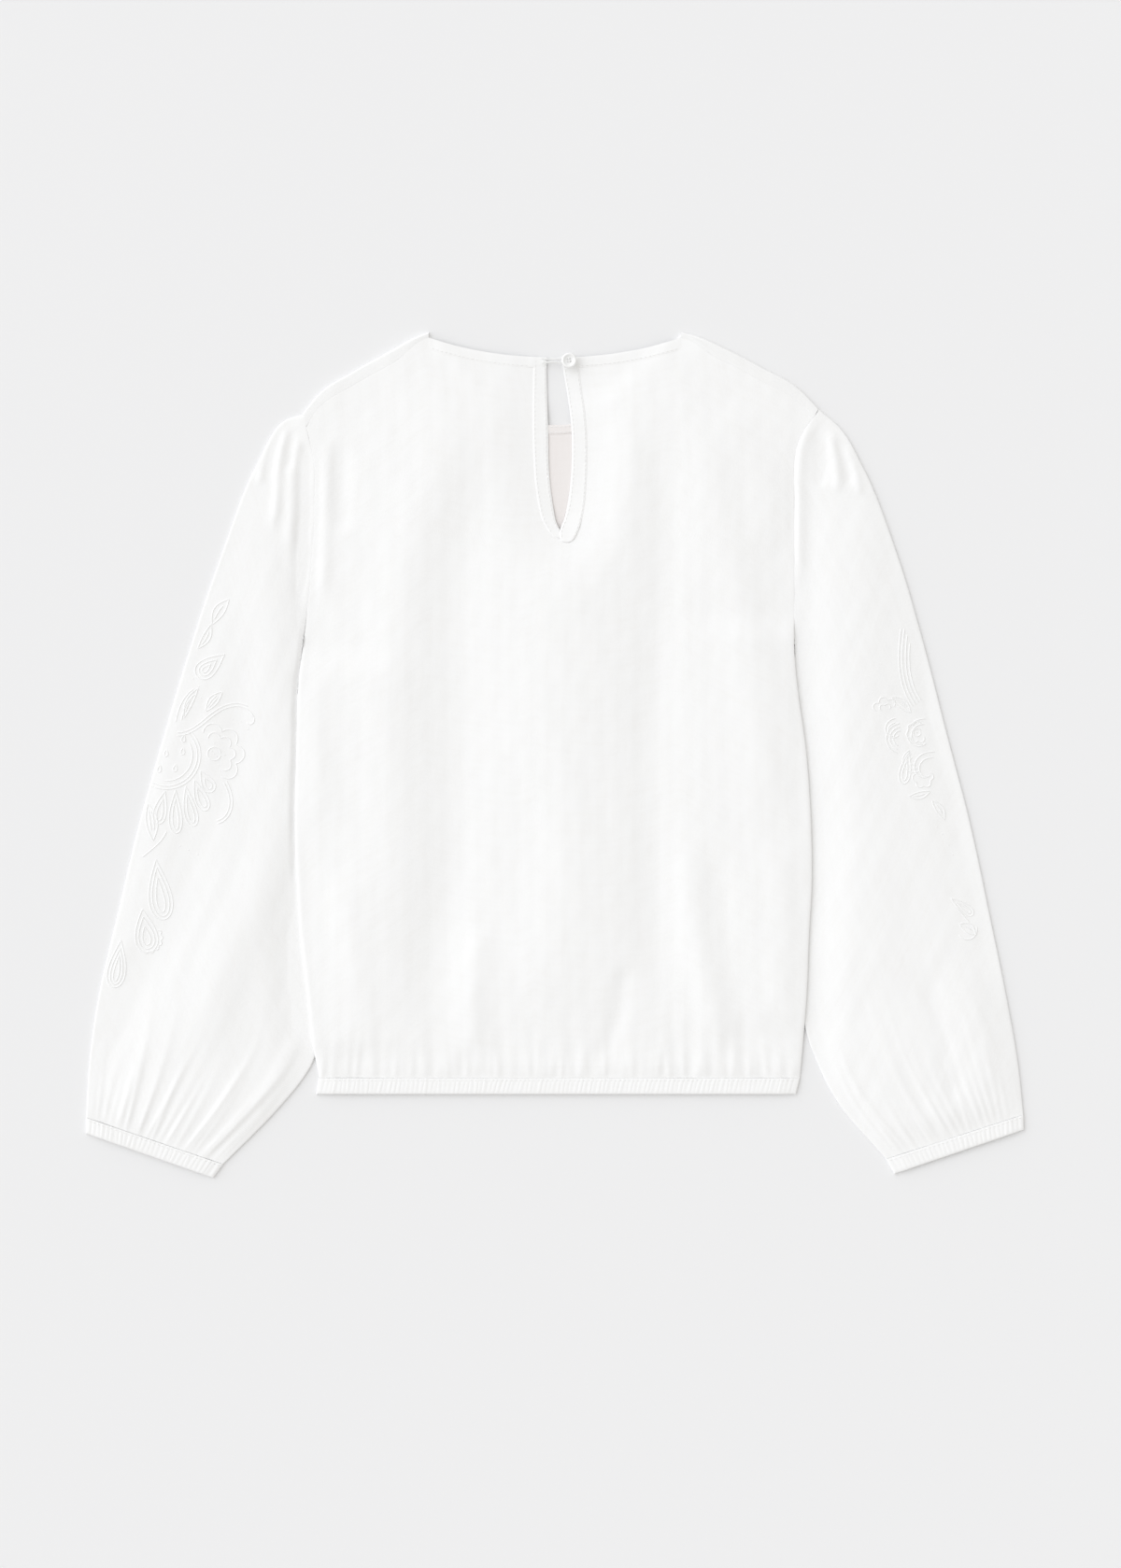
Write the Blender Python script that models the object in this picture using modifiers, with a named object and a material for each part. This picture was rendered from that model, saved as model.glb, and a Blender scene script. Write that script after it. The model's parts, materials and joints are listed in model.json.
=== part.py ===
"""Long-sleeved embroidered top laid flat with its back side up.

The garment lies on z = 0, its neck towards +Y and its right edge in the view towards +X.
Each cloth piece is a closed wall: a grid of stations is given its outer and inner face by
functions of the garment's own sizes. The tables are in millimetres.
"""
import math

import bmesh
import bpy
import numpy as np

MM = 0.001

# Cloth walls and the gaps between pieces
CLOTH = 1.0
SEAM_GAP = 0.35
LAYER_GAP = 0.4
TRIM = 0.7
TRIM_GAP = 0.3

# Neck and shoulders
NECK_X = 83.7
RIDGE_Y = 280.6
BACK_NECK_Y = 264.0
BACK_NECK_RISE = 13.0
FRONT_NECK_Y = 219.0
NECK_POWER = 2.2
SEAM_DROP_NECK = 3.5
SEAM_DROP_SHOULDER = 9.0
SHOULDER_RUN = 25.0

# Hem, underarms and the height to which the body rises over the tucked sleeves
HEM_Y = -214.2
HEM_END_Y = -225.0
EDGE_HEIGHT = 2.8
LIFT = EDGE_HEIGHT + LAYER_GAP
FLAT_SHARE = 0.915
FOOT_SHARE = 0.82
BACK_FLAT_SHARE = 0.90
BACK_FOOT_SHARE = 0.35
CALM_X = 4.0
CALM_Y = 205.0
CALM_STRETCH = 0.45
CALM_START = 14.0
CALM_END = 50.0
CALM_SHARE = 0.2
SAG = 1.25
SAG_START = 2.0
SAG_END = 22.0
PUFF = 3.0
PUFF_EDGE = 0.5
PUFF_RUN = 70.0
PUFF_POWER = 2.5
PUFF_AT_HEM = 0.3
PUFF_AT_NECK = 0.4
EDGE_FADE = 0.04
SOFT_STOP = 0.5

# Shoulder ridge seen from above: x, y
RIDGE = (
    (-167.2, 226.6),
    (-157.5, 238.4),
    (-133.3, 254.5),
    (-106.6, 269.4),
    (-93.0, 277.0),
    (-NECK_X, RIDGE_Y),
    (NECK_X, RIDGE_Y),
    (95.0, 277.6),
    (110.0, 271.0),
    (138.0, 256.5),
    (163.5, 241.5),
    (174.5, 230.0),
)

# Sides of the body from the hem up to the shoulder point: y, left x, right x
BODY_SIDES = (
    (-214.2, -156.5, 162.6),
    (-191.0, -160.6, 164.6),
    (-155.0, -164.4, 167.2),
    (-119.0, -168.6, 168.6),
    (-85.0, -171.0, 170.4),
    (-45.0, -172.4, 169.8),
    (8.0, -171.2, 166.0),
    (40.0, -170.5, 161.5),
    (66.0, -168.2, 158.9),
    (100.0, -163.8, 158.7),
    (140.0, -160.4, 158.7),
    (175.0, -159.3, 158.7),
    (195.0, -159.8, 158.9),
    (210.0, -163.2, 162.5),
    (228.0, -167.2, 174.5),
)

# Height of the lift along each side, from the hem up: y, left share, right share
LIFT_RUN = (
    (-214.2, 0.0, 0.0),
    (-200.0, 1.0, 1.0),
    (50.0, 1.0, 1.0),
    (74.0, 0.0, 1.0),
    (96.0, 0.0, 0.0),
)

# Keyhole and its strip: y, left outer x, left edge x, right edge x, right outer x
KEYHOLE = (
    (-20.0, -13.5, -4.5, 4.5, 13.5),
    (60.0, -12.0, -3.5, 6.0, 15.0),
    (100.0, -9.0, -1.0, 8.0, 17.0),
    (125.0, -2.5, 4.6, 9.0, 16.0),
    (141.0, 1.5, 6.0, 9.6, 14.0),
    (148.5, -5.5, 2.2, 4.4, 13.8),
    (156.0, -8.6, 0.4, 6.2, 16.6),
    (165.0, -10.6, -1.2, 8.0, 18.6),
    (180.0, -12.6, -3.2, 10.2, 20.9),
    (197.0, -13.8, -4.2, 11.2, 22.0),
    (210.0, -14.3, -4.3, 11.2, 21.9),
    (233.0, -14.7, -5.0, 10.2, 20.6),
    (264.0, -14.9, -5.6, 4.3, 14.5),
)

# Soft folds of the back, name: half width, height, then x, y points along its crest
BACK_FOLDS = (
    ("left ridge", 22.0, 1.8, ((-66, 240), (-80, 190), (-92, 150), (-104, 100), (-110, 50),
                               (-108, 0), (-109, -60), (-112, -120), (-106, -200))),
    ("left trough", 18.0, -1.4, ((-46, 240), (-50, 190), (-56, 140), (-61, 90), (-63, 20),
                                 (-66, -60), (-75, -110), (-83, -160), (-84, -205))),
    ("middle ridge", 36.0, 2.6, ((14, 215), (12, 150), (6, 100), (5, 50), (8, 0), (12, -50),
                                 (8, -100), (0, -150), (-6, -205))),
    ("right trough", 15.0, -1.4, ((64, 246), (70, 200), (74, 150), (72, 100), (68, 50), (62, 0),
                                  (64, -50), (67, -100), (72, -150), (80, -205))),
    ("right ridge", 17.0, 1.5, ((98, 235), (105, 200), (112, 160), (124, 100), (131, 50),
                                (136, -10), (140, -60))),
    ("thin ridge", 9.0, 0.9, ((87, -45), (90, -90), (96, -130), (104, -170), (110, -205))),
    ("thin trough", 9.0, -0.7, ((106, -60), (112, -110), (121, -160), (129, -205))),
    ("side ridge", 10.0, 0.8, ((150, -50), (151, -110), (148, -180))),
    ("bright edge", 9.0, 0.7, ((-158, 60), (-158, 10), (-157, -50))),
    ("low ridge", 12.0, 1.0, ((-140, -70), (-134, -130), (-128, -200))),
    ("hem roll", 9.0, 1.1, ((-50, -110), (-54, -155), (-56, -205))),
    ("hem crease", 7.0, -1.0, ((49, -135), (41, -172), (31, -208))),
    ("left arm ridge", 4.5, 0.9, ((-150, 213), (-151, 180), (-152, 140), (-154, 95))),
    ("left arm trough", 7.0, -1.0, ((-140, 210), (-142, 180), (-141, 145))),
    ("right arm ridge", 12.0, 0.9, ((112, 238), (126, 205), (138, 170), (142, 130))),
)

# Shares of a fold's length over which it fades in and out
FOLD_START = 0.22
FOLD_END = 0.18

# Sleeve edges from armhole to cuff: share of the way, outer x, outer y, inner x, inner y
SLEEVE_EDGES = {
    "left": (
        (0.00, -167.8, 226.2, -171.4, 40.0),
        (0.03, -180.0, 222.0, -169.5, 28.0),
        (0.10, -198.5, 192.5, -165.5, 5.0),
        (0.22, -220.7, 134.2, -161.5, -35.0),
        (0.35, -240.6, 74.7, -159.5, -75.0),
        (0.48, -258.5, 15.2, -158.5, -112.0),
        (0.60, -275.3, -44.3, -157.8, -145.0),
        (0.72, -289.5, -103.9, -157.8, -177.0),
        (0.84, -303.2, -163.4, -162.5, -207.5),
        (0.93, -308.8, -205.0, -188.0, -239.5),
        (1.00, -310.9, -240.5, -220.0, -271.5),
    ),
    "right": (
        (0.00, 175.2, 230.0, 159.8, 64.0),
        (0.03, 188.0, 219.0, 157.5, 50.0),
        (0.10, 205.0, 191.0, 155.5, 22.0),
        (0.22, 226.0, 137.0, 155.0, -22.0),
        (0.35, 244.0, 76.5, 156.5, -66.0),
        (0.48, 260.0, 14.5, 157.8, -105.0),
        (0.60, 275.3, -44.3, 159.8, -138.0),
        (0.72, 288.5, -106.0, 163.5, -166.0),
        (0.84, 300.5, -165.0, 171.5, -198.0),
        (0.93, 307.5, -206.0, 190.5, -234.5),
        (1.00, 310.9, -238.5, 219.5, -268.0),
    ),
}

# Swell of a sleeve's upper layer: share of the way, height
SLEEVE_SWELL = ((0.0, 1.0), (0.1, 2.4), (0.4, 3.0), (0.75, 4.0), (0.93, 4.2), (1.0, 2.0))
SLEEVE_EDGE_RUN = 12.0
SWELL_EDGE_RUN = 36.0
SWELL_RUN = 28.0
FOLD_RUN = 6.0
CAP_SHARE = 0.30
CUFF_GATHERS = 12
CUFF_HEIGHT = 1.1
CUFF_REACH = 0.10
SLEEVE_STOP = 0.2

SLEEVE_FOLDS = {
    "left": (
        ("edge ridge", 14.0, 1.2, ((-236, 110), (-252, 30), (-264, -30), (-283, -100), (-296, -160))),
        ("long trough", 14.0, -1.1, ((-200, 90), (-206, 20), (-215, -50), (-232, -100), (-248, -155),
                                     (-268, -205))),
        ("valley roll", 17.0, 1.6, ((-178, 70), (-180, 0), (-184, -50), (-198, -100), (-209, -155),
                                    (-228, -200), (-246, -234))),
        ("valley", 12.0, -1.7, ((-170, -70), (-175, -110), (-180, -152), (-194, -198), (-222, -240))),
        ("inner roll", 6.0, 1.4, ((-164, -120), (-166, -155), (-176, -192), (-199, -228), (-222, -258))),
        ("seam trough", 4.8, -1.1, ((-165, 212), (-166.8, 192), (-167, 165), (-168.4, 125),
                                    (-170.5, 80))),
        ("cap roll", 4.4, 1.1, ((-170.5, 214), (-172.5, 195), (-174, 165), (-176, 120))),
        ("cap groove", 2.0, -1.5, ((-173.5, 217), (-175.3, 203), (-176.5, 188))),
        ("cap ridge", 2.8, 1.5, ((-176, 221), (-180.5, 208), (-183.2, 192), (-184.5, 170),
                                 (-187, 145))),
        ("outer groove", 2.6, -1.0, ((-181, 218), (-187, 203), (-190, 185))),
        ("outer ridge", 3.0, 1.0, ((-186, 215), (-193, 198), (-197, 178))),
    ),
    "right": (
        ("inner ridge", 24.0, 1.5, ((186, 170), (196, 80), (202, 0), (205, -60), (208, -120),
                                    (212, -180))),
        ("outer fall", 24.0, -1.5, ((232, 110), (250, 30), (264, -40), (277, -110), (288, -170))),
        ("cuff crease", 7.0, -1.5, ((245, -134), (258, -190), (269, -232))),
        ("cuff roll", 8.0, 1.4, ((268, -130), (282, -185), (290, -228))),
        ("seam roll", 4.6, 1.4, ((168.5, 223), (164, 208), (162.2, 190), (161.8, 150),
                                 (162.2, 105))),
        ("cap valley", 3.4, -1.2, ((176.5, 222), (177.5, 207), (176.5, 192), (176, 176))),
        ("cap ridge", 3.2, 1.1, ((181.5, 217), (185, 204), (187, 188), (188, 172))),
        ("outer groove", 2.6, -1.1, ((187, 212), (193, 196), (196, 178))),
        ("outer ridge", 3.0, 0.9, ((192, 207), (199, 190), (203, 170))),
    ),
}

# Elastic bands: ribs across, height at the folded edges, height between them
CUFF_RIBS = 29
HEM_RIBS = 105
RIB_HEIGHT = 0.6
BAND_EDGE = 3.0
BAND_RISE = 0.5
BAND_RUN = 12.0

# Corners of the bands, x and y: seam side then free side, each from outside to inside
CUFF_CORNERS = {
    "left": ((-311.0, -240.9), (-220.2, -272.0), (-311.2, -251.0), (-226.6, -280.6)),
    "right": ((311.0, -238.9), (219.7, -268.5), (311.2, -248.6), (225.1, -278.0)),
}
HEM_CORNERS = ((-156.8, -214.6), (162.4, -214.6), (-158.4, HEM_END_Y), (160.0, HEM_END_Y))

# Button and its loop
BUTTON_X = 9.4
BUTTON_Y = 261.4
BUTTON_RADIUS = 5.1
BUTTON_STEM = 1.4
BUTTON_STEM_HEIGHT = 2.0
LOOP_RADIUS = 0.5
LOOP_START_X = -9.0

# Grid stations of the panels, x at the top edge
SHOULDER_LEFT = (-167.2, -153.0, -137.1, -122.0, -108.0, -95.0)
SHOULDER_RIGHT = (95.0, 109.0, 125.0, 143.1, 159.7, 174.5)
BACK_COLUMNS = SHOULDER_LEFT + (-NECK_X, -70.0, -55.0, -40.0, -27.0, -14.9, -5.6, 4.3, 14.5,
                                31.0, 43.0, 56.0, 70.0, NECK_X) + SHOULDER_RIGHT
FRONT_COLUMNS = (SHOULDER_LEFT + (-NECK_X, -62.0, -40.0, -17.0, 17.0, 40.0, 62.0, NECK_X)
                 + SHOULDER_RIGHT)
NECK_START = len(SHOULDER_LEFT)
KEYHOLE_START = BACK_COLUMNS.index(-14.9)

# Rows: shares of the way from the level UPPER_Y to the top edge, then levels below it
UPPER_Y = 96.0
BACK_UPPER = (1.0, 0.957, 0.91, 0.84, 0.74, 0.62, 0.50, 0.40, 0.3125, 0.268, 0.13, 0.0)
FRONT_UPPER = (1.0, 0.95, 0.90, 0.82, 0.72, 0.61, 0.48, 0.33, 0.16, 0.0)
NECK_ROW = 1
TIP_ROW = BACK_UPPER.index(0.3125)
BACK_LEVELS = (74.0, 50.0, 22.0, -10.0, -45.0, -80.0, -113.0, -143.0, -165.0,
               -180.0, -191.0, -200.0, -207.0, HEM_Y)
FRONT_LEVELS = (74.0, 50.0, -10.0, -80.0, -143.0, -200.0, HEM_Y)
FINE_ROWS = 5
HEM_GATHERS = 21
HEM_GATHER_HEIGHT = 1.2
RIDGE_ANGLES = (45.0, 90.0, 135.0, 180.0)

# Rings of a sleeve: how far along, then the top layer's shares across
SLEEVE_ROWS = (0.0, 0.008, 0.017, 0.027, 0.038, 0.05, 0.065, 0.085, 0.11, 0.15, 0.20, 0.27,
               0.35, 0.44, 0.53, 0.62, 0.71, 0.79, 0.86, 0.91, 0.95, 0.98, 1.0)
SLEEVE_COLUMNS = 32
FOLD_ANGLES = (50.0, 0.0, -50.0)
UNDER_COLUMNS = 4
ARMHOLE_GAP = 0.5


def through(table, column, at):
    """Smooth curve through a table's rows, read in the given column."""
    rows = np.array(table, dtype=float)
    stations = rows[:, 0]
    values = rows[:, column]
    at = np.asarray(at, dtype=float)
    slopes = np.gradient(values, stations)
    low = np.clip(np.searchsorted(stations, at, side="right") - 1, 0, len(stations) - 2)
    step = stations[low + 1] - stations[low]
    part = np.clip((at - stations[low]) / step, 0.0, 1.0)
    rest = 1.0 - part
    ends = (1 + 2 * part) * rest**2 * values[low] + (1 + 2 * rest) * part**2 * values[low + 1]
    turns = part * rest**2 * slopes[low] - part**2 * rest * slopes[low + 1]
    return ends + step * turns


def ramp(value, start, end):
    """Soft step from 0 at start to 1 at end."""
    part = np.clip((value - start) / (end - start), 0.0, 1.0)
    return part * part * (3.0 - 2.0 * part)


def stopped(height, softness):
    """The height where it is above 0, and a soft stop at 0 where it would go below."""
    return 0.5 * (height + np.sqrt(height**2 + softness**2))


def rounded(value, run):
    """Rise from 0 to 1 over a run, steep at first, as a soft edge swells from its fold."""
    return 1.0 - np.clip(1.0 - value / run, 0.0, 1.0) ** 2


def relief(folds, x, y):
    """Height that a table of soft ridges and troughs adds at each place."""
    height = np.zeros_like(x)
    for _name, half_width, rise, points in folds:
        path = np.array(points, dtype=float)
        stations = np.linspace(0.0, 1.0, len(path))
        table = np.column_stack((stations, path))
        steps = np.linspace(0.0, 1.0, 4 * len(path))
        crest_x = through(table, 1, steps)
        crest_y = through(table, 2, steps)
        nearest = np.full_like(x, 1e9)
        along = np.zeros_like(x)
        for k in range(len(steps) - 1):
            run_x = crest_x[k + 1] - crest_x[k]
            run_y = crest_y[k + 1] - crest_y[k]
            length_squared = run_x**2 + run_y**2
            part = ((x - crest_x[k]) * run_x + (y - crest_y[k]) * run_y) / length_squared
            part = np.clip(part, 0.0, 1.0)
            away = np.hypot(x - crest_x[k] - part * run_x, y - crest_y[k] - part * run_y)
            closer = away < nearest
            nearest = np.where(closer, away, nearest)
            along = np.where(closer, (k + part) / (len(steps) - 1), along)
        fade = ramp(along, 0.0, FOLD_START) * ramp(1.0 - along, 0.0, FOLD_END)
        height += rise * fade * np.exp(-((nearest / half_width) ** 2))
    return height


def side_x(y, right):
    """Edge of the body at a height in the view, on either side."""
    return np.where(right, through(BODY_SIDES, 2, y), through(BODY_SIDES, 1, y))


def share_out(x, y):
    """How far out a place is, from 0 on the middle line to 1 on the body's edge."""
    return np.abs(x) / np.abs(side_x(y, x > 0))


def lift(share, y, right, foot, flat):
    """Rise of the body's edges, from foot to flat, over the sleeve edges tucked under them."""
    table = np.array(LIFT_RUN)
    left_run = np.interp(y, table[:, 0], table[:, 1])
    right_run = np.interp(y, table[:, 0], table[:, 2])
    run = np.where(right, right_run, left_run)
    across = np.clip((share - foot) / (flat - foot), 0.0, 1.0)
    return LIFT * run * across


def billow(x, y):
    """How freely the back billows: little beside the bound keyhole, fully away from it."""
    away = np.hypot(x - CALM_X, CALM_STRETCH * (y - CALM_Y))
    return CALM_SHARE + (1.0 - CALM_SHARE) * ramp(away, CALM_START, CALM_END)


def sag(x, y):
    """How far the back sinks above the front's neckline, where only the ground is under it."""
    return SAG * ramp(y - front_edge_y(x), SAG_START, SAG_END)


def hem_gathers(x, y):
    """Small gathers that run up from the hem and die out at uneven heights."""
    half = 0.5 * (HEM_CORNERS[1][0] - HEM_CORNERS[0][0])
    turns = HEM_GATHERS * 0.5 * (x / half + 1.0)
    reach = 20.0 + 9.0 * np.sin(2.1 * turns + 1.0)
    fade = np.exp(-((y - HEM_Y) / reach) ** 2) * ramp(1.0 - np.abs(x) / half, 0.0, 0.06)
    return HEM_GATHER_HEIGHT * fade * (0.5 - 0.5 * np.cos(2.0 * math.pi * turns))


def back_under(x, y):
    """Underside of the back panel: the front below it, a gap, then puff and folds."""
    share = share_out(x, y)
    at_hem = PUFF_AT_HEM + (1.0 - PUFF_AT_HEM) * ramp(y - HEM_Y, 0.0, PUFF_RUN)
    at_neck = PUFF_AT_NECK + (1.0 - PUFF_AT_NECK) * ramp(back_edge_y(x) - y, 0.0, PUFF_RUN)
    puff = PUFF_EDGE + PUFF * (1.0 - share**PUFF_POWER) * at_hem * at_neck
    edge_fade = ramp(1.0 - share, 0.0, EDGE_FADE)
    loose = billow(x, y) * (puff + edge_fade * relief(BACK_FOLDS, x, y)) + hem_gathers(x, y)
    loose = stopped(loose, SOFT_STOP)
    rise = lift(share, y, x > 0, BACK_FOOT_SHARE, BACK_FLAT_SHARE)
    return rise + CLOTH + LAYER_GAP + loose - sag(x, y)


def back_top(x, y):
    """Upper face of the back panel."""
    return back_under(x, y) + CLOTH


def ridge_y(x):
    """The shoulder ridge, where the front turns over to the back."""
    return through(RIDGE, 1, x)


def back_edge_y(x):
    """Upper edge of the back panel: neckline, then the shoulder seams below the ridge."""
    away = np.abs(x)
    neck = BACK_NECK_Y + BACK_NECK_RISE * (np.minimum(away, NECK_X) / NECK_X) ** NECK_POWER
    growth = SEAM_DROP_SHOULDER - SEAM_DROP_NECK
    drop = SEAM_DROP_NECK + growth * ramp(away, NECK_X, NECK_X + SHOULDER_RUN)
    return np.where(away > NECK_X, ridge_y(x) - drop, neck)


def front_edge_y(x):
    """Upper edge of the front panel: the deeper neckline, then the ridge."""
    away = np.abs(x)
    rise = RIDGE_Y - FRONT_NECK_Y
    neck = FRONT_NECK_Y + rise * (np.minimum(away, NECK_X) / NECK_X) ** NECK_POWER
    return np.where(away > NECK_X, ridge_y(x), neck)


def levels_y(row, edge, upper, levels):
    """Place of a grid row: fanned under the top edge, then level across the body."""
    count = len(upper)
    shares = np.interp(row, np.arange(count), upper)
    below = np.interp(row, np.arange(count - 1, count + len(levels)), (UPPER_Y,) + levels)
    return np.where(row <= count - 1, UPPER_Y + (edge - UPPER_Y) * shares, below)


def column_x(column, y, stations):
    """Place across of a grid column, which follows the body's edge on its side."""
    top = np.interp(column, np.arange(len(stations)), stations)
    right = top > 0
    share = np.where(right, top / stations[-1], top / -stations[0])
    return share * np.abs(side_x(y, right))


def back_place(column, row):
    """Plan position of the back panel's grid, whose middle columns follow the keyhole."""
    top = np.interp(column, np.arange(len(BACK_COLUMNS)), BACK_COLUMNS)
    y = levels_y(row, back_edge_y(top), BACK_UPPER, BACK_LEVELS)
    plain = column_x(column, y, BACK_COLUMNS)
    edges = [column_x(np.full_like(y, KEYHOLE_START - 1.0), y, BACK_COLUMNS)]
    for offset in range(4):
        edges.append(through(KEYHOLE, 1 + offset, np.maximum(y, KEYHOLE[0][0])))
    edges.append(column_x(np.full_like(y, KEYHOLE_START + 4.0), y, BACK_COLUMNS))
    place = np.clip(column - (KEYHOLE_START - 1), 0.0, len(edges) - 1.0)
    low = np.minimum(place.astype(int), len(edges) - 2)
    part = place - low
    stack = np.array(edges)
    here = np.arange(len(y))
    curved = stack[low, here] * (1.0 - part) + stack[low + 1, here] * part
    middle = (column > KEYHOLE_START - 1) & (column < KEYHOLE_START + 4)
    return np.where(middle, curved, plain), y


def new_material(name, colour, roughness):
    """Principled material with a plain colour."""
    material = bpy.data.materials.new(name)
    material.use_nodes = True
    shader = material.node_tree.nodes["Principled BSDF"]
    shader.inputs["Base Color"].default_value = (*colour, 1.0)
    shader.inputs["Roughness"].default_value = roughness
    return material


def cloth_wall(name, columns, rows, place, material, keep=None, fine_from=None, ring=False):
    """A closed cloth wall from a grid of stations.

    place(column, row, inner) gives the millimetre positions of the outer or inner face.
    keep(column, row) says which of the grid's faces exist, read at their middles, and
    fine_from is the row past which each face is split in three across.
    """
    bm = bmesh.new()
    bmesh.ops.create_grid(bm, x_segments=columns, y_segments=rows, size=0.5)
    for vert in bm.verts:
        vert.co.x = round((vert.co.x + 0.5) * columns)
        vert.co.y = round((vert.co.y + 0.5) * rows)
    if keep is not None:
        lost = [f for f in bm.faces if not keep(*f.calc_center_median()[:2])]
        bmesh.ops.delete(bm, geom=lost, context="FACES")
    if fine_from is not None:
        level = [e for e in bm.edges if e.verts[0].co.y == e.verts[1].co.y >= fine_from]
        bmesh.ops.subdivide_edges(bm, edges=level, cuts=2, use_grid_fill=True)
    if ring:
        first = {round(v.co.y): v for v in bm.verts if v.co.x == 0}
        last = {v: first[round(v.co.y)] for v in bm.verts if v.co.x == columns}
        bmesh.ops.weld_verts(bm, targetmap=last)
    outer = list(bm.verts)
    made = bmesh.ops.extrude_face_region(bm, geom=bm.faces[:], use_keep_orig=True)
    inner = [item for item in made["geom"] if isinstance(item, bmesh.types.BMVert)]
    for verts, is_inner in ((outer, False), (inner, True)):
        column = np.array([v.co.x for v in verts])
        row = np.array([v.co.y for v in verts])
        x, y, z = place(column, row, is_inner)
        for k, vert in enumerate(verts):
            vert.co = (x[k] * MM, y[k] * MM, z[k] * MM)
    bmesh.ops.recalc_face_normals(bm, faces=bm.faces)
    mesh = bpy.data.meshes.new(name)
    bm.to_mesh(mesh)
    bm.free()
    mesh.shade_smooth()
    mesh.set_sharp_from_angle(angle=math.radians(50))
    mesh.materials.append(material)
    return bpy.data.objects.new(name, mesh)


def back_panel(cloth):
    """The back: slit by the keyhole from its neck edge down to the tip."""

    def place(column, row, inner):
        x, y = back_place(column, row)
        z = np.where(inner, back_under(x, y), back_top(x, y))
        return x, y, z

    def keep(column, row):
        in_keyhole = KEYHOLE_START + 1 < column < KEYHOLE_START + 2
        return not (in_keyhole and row < TIP_ROW)

    rows = len(BACK_UPPER) + len(BACK_LEVELS) - 1
    fine_from = rows - FINE_ROWS
    return cloth_wall("back_panel", len(BACK_COLUMNS) - 1, rows, place, cloth, keep, fine_from)


def front_panel(cloth):
    """The front, flat on the ground, with its shoulders turned over the ridge."""
    turns = len(RIDGE_ANGLES)

    def place(column, row, inner):
        top = np.interp(column, np.arange(len(FRONT_COLUMNS)), FRONT_COLUMNS)
        shoulder_x = column_x(column, ridge_y(top), FRONT_COLUMNS)
        seam_y = back_edge_y(shoulder_x) + SEAM_GAP
        radius = 0.5 * back_top(shoulder_x, seam_y)
        reach = front_edge_y(top) - np.where(np.abs(top) >= NECK_X, radius, 0.0)
        flat_row = np.maximum(row - turns, 0.0)
        y = levels_y(flat_row, reach, FRONT_UPPER, FRONT_LEVELS)
        x = column_x(column, y, FRONT_COLUMNS)
        rise = lift(share_out(x, y), y, x > 0, FOOT_SHARE, FLAT_SHARE)
        z = rise + (CLOTH if inner else 0.0)
        turned = row < turns
        angle = np.radians(np.interp(turns - row, np.arange(turns + 1), (0.0,) + RIDGE_ANGLES))
        bend = radius - (CLOTH if inner else 0.0)
        turn_y = reach + bend * np.sin(angle)
        turn_y = np.where(row == 0, seam_y, turn_y)
        turn_z = radius - bend * np.cos(angle)
        turn_x = column_x(column, turn_y, FRONT_COLUMNS)
        return np.where(turned, turn_x, x), np.where(turned, turn_y, y), np.where(turned, turn_z, z)

    def keep(column, row):
        in_neck = NECK_START < column < len(FRONT_COLUMNS) - 1 - NECK_START
        return not (in_neck and row < turns)

    rows = turns + len(FRONT_UPPER) + len(FRONT_LEVELS) - 1
    return cloth_wall("front_panel", len(FRONT_COLUMNS) - 1, rows, place, cloth, keep)


def strip_on_back(name, cloth, keep, pull_in):
    """A narrow strip on the back panel, made from the panel's points moved up."""

    def place(column, row, inner):
        x, y = back_place(column, row)
        x = x + pull_in(column)
        z = back_top(x, y) + TRIM_GAP + (0.0 if inner else TRIM)
        return x, y, z

    rows = len(BACK_UPPER) + len(BACK_LEVELS) - 1
    return cloth_wall(name, len(BACK_COLUMNS) - 1, rows, place, cloth, keep)


def keyhole_binding(cloth):
    """The strip round the keyhole, a U from one neck end to the other."""

    def keep(column, row):
        side = KEYHOLE_START < column < KEYHOLE_START + 3
        slit = KEYHOLE_START + 1 < column < KEYHOLE_START + 2
        return side and row < TIP_ROW + 1 and not (slit and row < TIP_ROW)

    return strip_on_back("keyhole_binding", cloth, keep, lambda column: 0.0 * column)


def neck_bindings(cloth):
    """The two back halves of the neck facing, either side of the keyhole strip."""
    pieces = []
    last = len(BACK_COLUMNS) - 1 - NECK_START
    spans = (("left", NECK_START, KEYHOLE_START), ("right", KEYHOLE_START + 3, last))
    for side, low, high in spans:
        keyhole_column = high if side == "left" else low
        away = -SEAM_GAP if side == "left" else SEAM_GAP

        def keep(column, row, low=low, high=high):
            return low < column < high and row < NECK_ROW

        def pull_in(column, keyhole_column=keyhole_column, away=away):
            return np.where(column == keyhole_column, away, 0.0)

        pieces.append(strip_on_back(f"neck_binding_{side}", cloth, keep, pull_in))
    return pieces


def neck_binding_front(cloth):
    """The front half of the neck facing, on the inner face of the front panel."""
    last = len(FRONT_COLUMNS) - 2 - NECK_START

    def place(column, row, inner):
        top = np.interp(column, np.arange(len(FRONT_COLUMNS)), FRONT_COLUMNS)
        y = levels_y(row, front_edge_y(top), FRONT_UPPER, FRONT_LEVELS)
        x = column_x(column, y, FRONT_COLUMNS)
        z = np.full_like(x, CLOTH + TRIM_GAP + (0.0 if inner else TRIM))
        return x, y, z

    def keep(column, row):
        return NECK_START + 1 < column < last and row < NECK_ROW

    rows = len(FRONT_UPPER) + len(FRONT_LEVELS) - 1
    return cloth_wall("neck_binding_front", len(FRONT_COLUMNS) - 1, rows, place, cloth, keep)


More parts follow.
